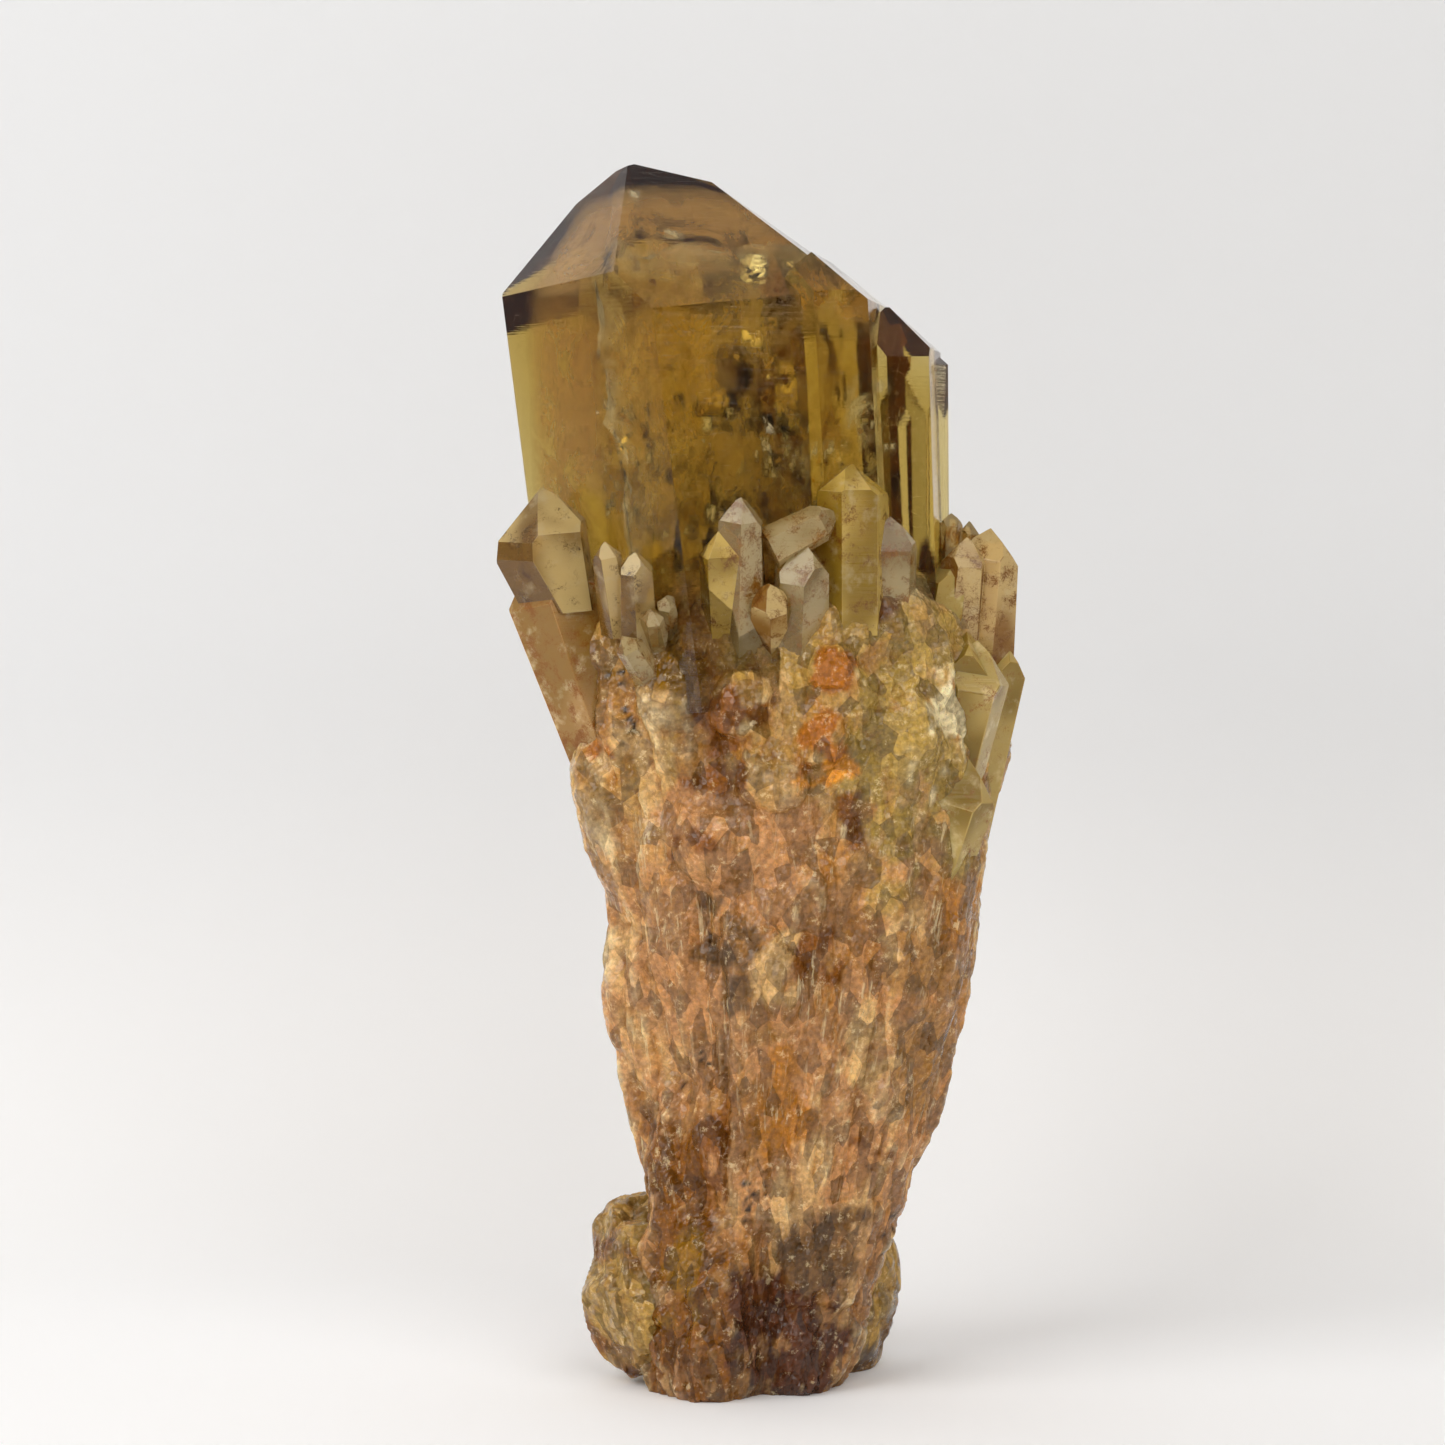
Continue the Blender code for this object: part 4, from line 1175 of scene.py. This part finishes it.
def broken_facets_group():
    """Flat breaks: each cell's own tilted plane as height, its rim, and a tone of its own."""
    tree, source, result = new_group(
        "broken_facets",
        [("Vector", "NodeSocketVector", None), ("Scale", "NodeSocketFloat", 1.0)],
        [("Height", "NodeSocketFloat"), ("Rim", "NodeSocketFloat"), ("Tone", "NodeSocketFloat")])
    sized = node(tree, "ShaderNodeVectorMath", {"operation": "SCALE"},
                 {0: source.outputs["Vector"], "Scale": source.outputs["Scale"]}).outputs[0]
    cells = node(tree, "ShaderNodeTexVoronoi", None, {"Vector": sized, "Scale": 1.0})
    away = vector_node(tree, "SUBTRACT", sized, cells.outputs["Position"])
    tilt = vector_node(tree, "SUBTRACT", cells.outputs["Color"], (0.5, 0.5, 0.5))
    plane = vector_node(tree, "DOT_PRODUCT", away, tilt)
    tone = node(tree, "ShaderNodeSeparateXYZ", None, {0: cells.outputs["Color"]}).outputs[0]
    edges = node(tree, "ShaderNodeTexVoronoi", {"feature": "DISTANCE_TO_EDGE"},
                 {"Vector": sized, "Scale": 1.0}).outputs["Distance"]
    tree.links.new(math_node(tree, "ADD", plane, 0.5), result.inputs["Height"])
    tree.links.new(range_node(tree, edges, 0.04, 0.0), result.inputs["Rim"])
    tree.links.new(tone, result.inputs["Tone"])
    return tree


def stain_group():
    """Iron stain: a mask of clouds, veins and specks, more where Amount is high."""
    tree, source, result = new_group(
        "iron_stain",
        [("Vector", "NodeSocketVector", None), ("Amount", "NodeSocketFloat", 0.5),
         ("Scale", "NodeSocketFloat", 0.3)],
        [("Mask", "NodeSocketFloat"), ("Specks", "NodeSocketFloat")])
    vector = source.outputs["Vector"]
    cloud = noise_node(tree, vector, source.outputs["Scale"], 6.0, 0.65, 0.4)
    veins = noise_node(tree, vector, math_node(tree, "MULTIPLY", source.outputs["Scale"], 2.6),
                       5.0, 0.7, 1.2)
    veins = math_node(tree, "ABSOLUTE", math_node(tree, "SUBTRACT", veins, 0.5))
    veins = range_node(tree, veins, 0.05, 0.0)
    total = math_node(tree, "ADD", cloud, math_node(tree, "MULTIPLY", veins, 0.12))
    total = math_node(tree, "ADD", total,
                      math_node(tree, "MULTIPLY", source.outputs["Amount"], 0.35))
    tree.links.new(range_node(tree, total, 0.62, 0.82), result.inputs["Mask"])
    specks = noise_node(tree, vector, math_node(tree, "MULTIPLY", source.outputs["Scale"], 12.0),
                        3.0, 0.5)
    tree.links.new(range_node(tree, specks, 0.66, 0.74), result.inputs["Specks"])
    return tree


def use_group(tree, group, inputs=None):
    return node(tree, "ShaderNodeGroup", {"node_tree": group}, inputs)


def new_material(name, values):
    """A material whose Principled shader has these plain values, with its tree and shader."""
    made = bpy.data.materials.new(name)
    made.use_nodes = True
    shader = made.node_tree.nodes["Principled BSDF"]
    for label, value in values.items():
        shader.inputs[label].default_value = value
    return made, made.node_tree, shader


def add_absorption(tree, colour, density):
    """Light lost in clear stone, by colour and by depth."""
    inside = node(tree, "ShaderNodeVolumeAbsorption", None, {"Color": colour, "Density": density})
    output = tree.nodes["Material Output"]
    tree.links.new(inside.outputs["Volume"], output.inputs["Volume"])


def add_bump(tree, shader, layers):
    """Bump nodes one after another: height, distance in millimetres and strength."""
    normal = None
    for height, distance, strength in layers:
        inputs = {"Height": height, "Distance": distance * MM, "Strength": strength}
        if normal is not None:
            inputs["Normal"] = normal
        normal = node(tree, "ShaderNodeBump", None, inputs).outputs["Normal"]
    tree.links.new(normal, shader.inputs["Normal"])


def stone_material(name, groups, subsurface=0.5, gloss=0.18):
    """Milky broken quartz. The painted tint is toned by flat breaks and grain, stained by
    iron, streaked white on the lower fan (white fracture lines, partly a painted highlight
    on the fibres), and speckled; the breaks are also its bump."""
    made, tree, shader = new_material(name, {
        "Subsurface Weight": subsurface, "Subsurface Scale": 1.6 * MM,
        "Subsurface Radius": (1.0, 0.8, 0.5), "IOR": 1.5, "Specular IOR Level": 0.42})
    tint = node(tree, "ShaderNodeAttribute", {"attribute_name": "tint"}).outputs["Color"]
    hollow = node(tree, "ShaderNodeAttribute", {"attribute_name": "hollow"}).outputs["Fac"]
    space = use_group(tree, groups["fan_space"], {"Stretch": 0.7})
    fan = space.outputs["Vector"]
    place = space.outputs["Place"]
    large = use_group(tree, groups["broken_facets"], {"Vector": fan, "Scale": 0.42})
    small = use_group(tree, groups["broken_facets"], {"Vector": place, "Scale": 1.3})
    stain = use_group(tree, groups["iron_stain"], {"Vector": fan, "Amount": hollow, "Scale": 0.5})
    tone = range_node(tree, large.outputs["Tone"], 0.1, 0.9, 0.60, 1.16)
    grain = range_node(tree, noise_node(tree, place, 1.4, 4.0), 0.3, 0.7, 0.70, 1.22)
    tone = math_node(tree, "MULTIPLY", tone, grain)
    toned = node(tree, "ShaderNodeVectorMath", {"operation": "SCALE"},
                 {0: tint, "Scale": tone}).outputs[0]
    rusty = mix_node(tree, math_node(tree, "MULTIPLY", stain.outputs["Mask"], 0.45),
                     toned, socket_colour("rust"))
    # White streaks along the lower fan: white fracture lines, partly a painted highlight on the
    # fibres
    along = use_group(tree, groups["fan_space"], {"Stretch": 0.10}).outputs["Vector"]
    streaks = range_node(tree, noise_node(tree, along, 0.9, 4.0, 0.7), 0.56, 0.68, 0.0, 0.6)
    height = node(tree, "ShaderNodeSeparateXYZ", None, {0: place}).outputs[2]
    zone = math_node(tree, "MULTIPLY", range_node(tree, height, 18.0, 34.0),
                     range_node(tree, height, 88.0, 66.0))
    patchy = range_node(tree, noise_node(tree, place, 0.12, 3.0), 0.42, 0.60)
    zone = math_node(tree, "MULTIPLY", zone, patchy)
    streaks = math_node(tree, "MULTIPLY", streaks, zone)
    streaked = mix_node(tree, streaks, rusty, socket_colour("white"))
    crumbs = range_node(tree, noise_node(tree, place, 0.7, 5.0, 0.75), 0.57, 0.68, 0.0, 0.45)
    crumbled = mix_node(tree, crumbs, streaked, socket_colour("white"))
    lined = mix_node(tree, math_node(tree, "MULTIPLY", large.outputs["Rim"], 0.12),
                     crumbled, socket_colour("rust"))
    speckled = mix_node(tree, math_node(tree, "MULTIPLY", stain.outputs["Specks"], 0.75),
                        lined, socket_colour("brown"))
    tree.links.new(speckled, shader.inputs["Base Color"])
    rough = range_node(tree, small.outputs["Tone"], 0.2, 0.7, gloss, 0.06)
    tree.links.new(rough, shader.inputs["Roughness"])
    add_bump(tree, shader, [
        (large.outputs["Height"], 1.1, 0.8),
        (small.outputs["Height"], 0.5, 0.8),
        (noise_node(tree, place, 2.2, 3.0), 0.12, 0.5),
    ])
    return made


def clear_material(name, groups, absorb=None, density=0.0, transmission=None,
                   base=(1.0, 1.0, 1.0, 1.0), painted_lit_colour=None, haze=0.03, stain_colour="rust",
                   stain=0.0, milk=0.0, shift=0.0):
    """Clear quartz: growth lines across the prism, faint haze, and light lost in its depth.

    The smaller crystals are milky, with painted light on their faces: by each face's direction,
    some keep the darker base colour and others take the lighter lit colour, right-facing faces
    most.
    A crystal without absorption lets no light through.
    """
    if transmission is None:
        transmission = 1.0 if absorb else 0.0
    made, tree, shader = new_material(name, {
        "IOR": 1.5, "Specular IOR Level": 0.32, "Transmission Weight": transmission,
        "Metallic": 0.0, "Base Color": base, "Subsurface Weight": milk,
        "Subsurface Scale": 2.0 * MM, "Subsurface Radius": (1.0, 0.62, 0.28)})
    space = use_group(tree, groups["fan_space"], {"Stretch": 1.0})
    place = space.outputs["Place"]
    lines = node(tree, "ShaderNodeMapping", None,
                 {"Vector": place, "Scale": (0.12, 0.12, 2.4)}).outputs[0]
    lines = noise_node(tree, lines, 1.0, 3.0)
    facets = use_group(tree, groups["broken_facets"], {"Vector": place, "Scale": 0.5})
    rough = range_node(tree, noise_node(tree, place, 0.12, 4.0), 0.45, 0.75, haze, haze + 0.14)
    tree.links.new(rough, shader.inputs["Roughness"])
    if painted_lit_colour:
        # Painted light: each face is painted from the darker base towards the lighter lit colour
        # by its direction, standing in for the light that it passes and reflects
        facing = node(tree, "ShaderNodeNewGeometry").outputs["True Normal"]
        facing = vector_node(tree, "MULTIPLY", facing, (1.6, 1.6, 1.6))
        slow = node(tree, "ShaderNodeMapping", None,
                    {"Vector": place, "Scale": (0.10, 0.10, 0.07),
                     "Location": (shift, 0.0, 0.0)}).outputs[0]
        share = noise_node(tree, vector_node(tree, "ADD", facing, slow), 1.0, 2.0, 0.4)
        # Painted light: faces turned to the right, and a little up, are painted lighter
        side = vector_node(tree, "DOT_PRODUCT", facing, (0.07, -0.02, 0.03))
        share = range_node(tree, math_node(tree, "ADD", share, side), 0.42, 0.62)
        wisps = range_node(tree, noise_node(tree, place, 0.35, 5.0), 0.52, 0.74, 0.0, 0.45)
        painted_lit_tint = mix_node(tree, share, base, painted_lit_colour)
        painted_lit_tint = mix_node(tree, wisps, painted_lit_tint, socket_colour("white"))
        marks = use_group(tree, groups["iron_stain"],
                          {"Vector": place, "Amount": stain, "Scale": 0.45})
        stained = mix_node(tree, marks.outputs["Mask"], painted_lit_tint, socket_colour(stain_colour))
        tree.links.new(stained, shader.inputs["Base Color"])
    add_bump(tree, shader, [
        (lines, 0.12, 0.35),
        (facets.outputs["Height"], 0.05, 0.4),
    ])
    if absorb:
        add_absorption(tree, absorb, density)
    return made


def veil_material(name, groups, colour, scale, low, high, metal, rough, cover):
    """A broken sheet inside the stone: shown where noise is high, faded at its rim."""
    made, tree, shader = new_material(name, {"Metallic": metal, "IOR": 1.45})
    shader.inputs["Base Color"].default_value = colour
    fade = node(tree, "ShaderNodeAttribute", {"attribute_name": "fade"}).outputs["Fac"]
    space = use_group(tree, groups["fan_space"], {"Stretch": 0.5})
    shape = noise_node(tree, space.outputs["Vector"], scale, 4.0, 0.72, 0.6)
    shown = range_node(tree, shape, low, high, 0.0, cover)
    shown = math_node(tree, "MULTIPLY", shown, fade)
    tree.links.new(shown, shader.inputs["Alpha"])
    shader.inputs["Roughness"].default_value = rough
    return made


# Stage
def make_stage():
    """A pale floor that sweeps up into a wall: a profile carried across the stage."""
    rise = np.linspace(0.0, 0.5 * math.pi, SWEEP_STEPS)
    deep = np.concatenate(([STAGE_FRONT], WALL_Y - SWEEP_RADIUS * (1.0 - np.sin(rise)), [WALL_Y]))
    high = np.concatenate(([0.0], SWEEP_RADIUS * (1.0 - np.cos(rise)), [WALL_TOP]))
    across = np.array((-0.5, 0.5)) * STAGE_WIDTH
    points = np.array([(x, y, z) for y, z in zip(deep, high) for x in across])
    mesh = bpy.data.meshes.new("backdrop")
    mesh.from_pydata(points * MM, [], grid_quads(len(deep), 2).tolist())
    mesh.polygons.foreach_set("use_smooth", np.ones(len(mesh.polygons), bool))
    made, tree, shader = new_material("backdrop_paper", {
        "Roughness": 0.85, "Specular IOR Level": 0.0})
    place = node(tree, "ShaderNodeTexCoord").outputs["Object"]
    parts = node(tree, "ShaderNodeSeparateXYZ", None, {0: place}).outputs
    # Painted shade: the paper turns darker from the floor up the wall
    wall = range_node(tree, parts[2], 0.0, SWEEP_RADIUS * MM)
    paper = mix_node(tree, wall, FLOOR_COLOUR, WALL_COLOUR)
    tree.links.new(paper, shader.inputs["Base Color"])
    # A camera behind the wall looks through its back
    back = node(tree, "ShaderNodeNewGeometry").outputs["Backfacing"]
    tree.links.new(math_node(tree, "SUBTRACT", 1.0, back), shader.inputs["Alpha"])
    mesh.materials.append(made)
    backdrop = bpy.data.objects.new("backdrop", mesh)
    bpy.context.scene.collection.objects.link(backdrop)


def aim(item, place, target):
    """Puts a light or the camera at a place, looking at a target."""
    place = np.array(place, float)
    back = place - target
    back /= np.linalg.norm(back)
    right = np.cross((0.0, 0.0, 1.0), back)
    right /= np.linalg.norm(right)
    up = np.cross(back, right)
    turned = np.eye(4)
    turned[:3] = np.column_stack((right, up, back, place * MM))
    item.matrix_world = Matrix(turned.tolist())


def add_light(name, place, size, power):
    light = bpy.data.lights.new(name, "AREA")
    light.shape = "RECTANGLE"
    light.size = size[0] * MM
    light.size_y = size[1] * MM
    light.energy = power
    item = bpy.data.objects.new(name, light)
    bpy.context.scene.collection.objects.link(item)
    aim(item, place, AIM)


def make_lights():
    """Soft daylight from above and the left, a weaker light from the front, and a pale
    room that is warmer and darker behind the camera."""
    for name, values in LIGHTS.items():
        add_light(name, *values)
    world = bpy.data.worlds.new("pale_room")
    world.use_nodes = True
    tree = world.node_tree
    back = tree.nodes["Background"]
    towards = node(tree, "ShaderNodeTexCoord").outputs["Generated"]
    parts = node(tree, "ShaderNodeSeparateXYZ", None, {0: towards}).outputs
    behind = range_node(tree, parts[1], -0.7, 0.3)
    strength = range_node(tree, behind, 0.0, 1.0, *ROOM_STRENGTHS)
    shade = mix_node(tree, behind, *ROOM_COLOURS)
    tree.links.new(strength, back.inputs["Strength"])
    tree.links.new(shade, back.inputs["Color"])
    bpy.context.scene.world = world


def make_camera():
    rise = math.radians(CAMERA_RISE)
    place = AIM + CAMERA_DISTANCE * np.array((0.0, -math.cos(rise), math.sin(rise)))
    camera = bpy.data.cameras.new("camera")
    camera.lens = LENS
    camera.sensor_width = SENSOR
    camera.clip_start = 0.01
    item = bpy.data.objects.new("camera", camera)
    bpy.context.scene.collection.objects.link(item)
    aim(item, place, AIM)
    bpy.context.scene.camera = item


def main():
    groups = {"fan_space": fan_space_group(), "broken_facets": broken_facets_group(),
              "iron_stain": stain_group()}
    grown, chips = grow_crystals()
    stone = stone_material("stained_stone", groups)
    lobe = stone_material("glassy_lobe", groups, subsurface=0.8, gloss=0.12)
    make_stone(grown, chips, stone)
    make_lobes(chips, lobe)

    clear = {name: clear_material(name, groups, **values)
             for name, values in CLEAR_FINISHES.items()}
    for name, members in CLEAR_GROUPS.items():
        join_crystals(name, members, grown, clear[GROUP_FINISHES[name]])
    join_crystals("pale_columns", PALE_COLUMNS, grown, clear["milky_quartz"])
    join_crystals("warm_columns", WARM_COLUMNS, grown, clear["warm_quartz"])
    back_points = [name for name in grown if name.startswith(("bud_", "fan_0_"))]
    join_crystals("back_crystals", back_points, grown, clear["milky_quartz"])

    veils = {name: veil_material(name, groups, *values) for name, values in VEIL_FINISHES.items()}
    make_veils("haze_veils", HAZE_VEILS, grown, veils["haze_veil"])
    make_veils("white_veils", WHITE_VEILS, grown, veils["white_veil"])
    make_veils("gold_veils", GOLD_VEILS, grown, veils["gold_veil"])
    make_veils("smoke_veils", SMOKE_VEILS, grown, veils["smoke_veil"])
    random = np.random.default_rng(SEED)
    gold_rows = scatter_flakes(*GOLD_FLAKES, random)
    make_veils("gold_flakes", gold_rows, grown, veils["gold_flake"], FLAKE_GRID)
    white_rows = scatter_flakes(*WHITE_FLAKES, random)
    make_veils("white_flakes", white_rows, grown, veils["white_flake"], FLAKE_GRID)

    make_stage()
    make_lights()
    make_camera()
    bpy.context.scene.view_settings.view_transform = "Standard"


main()
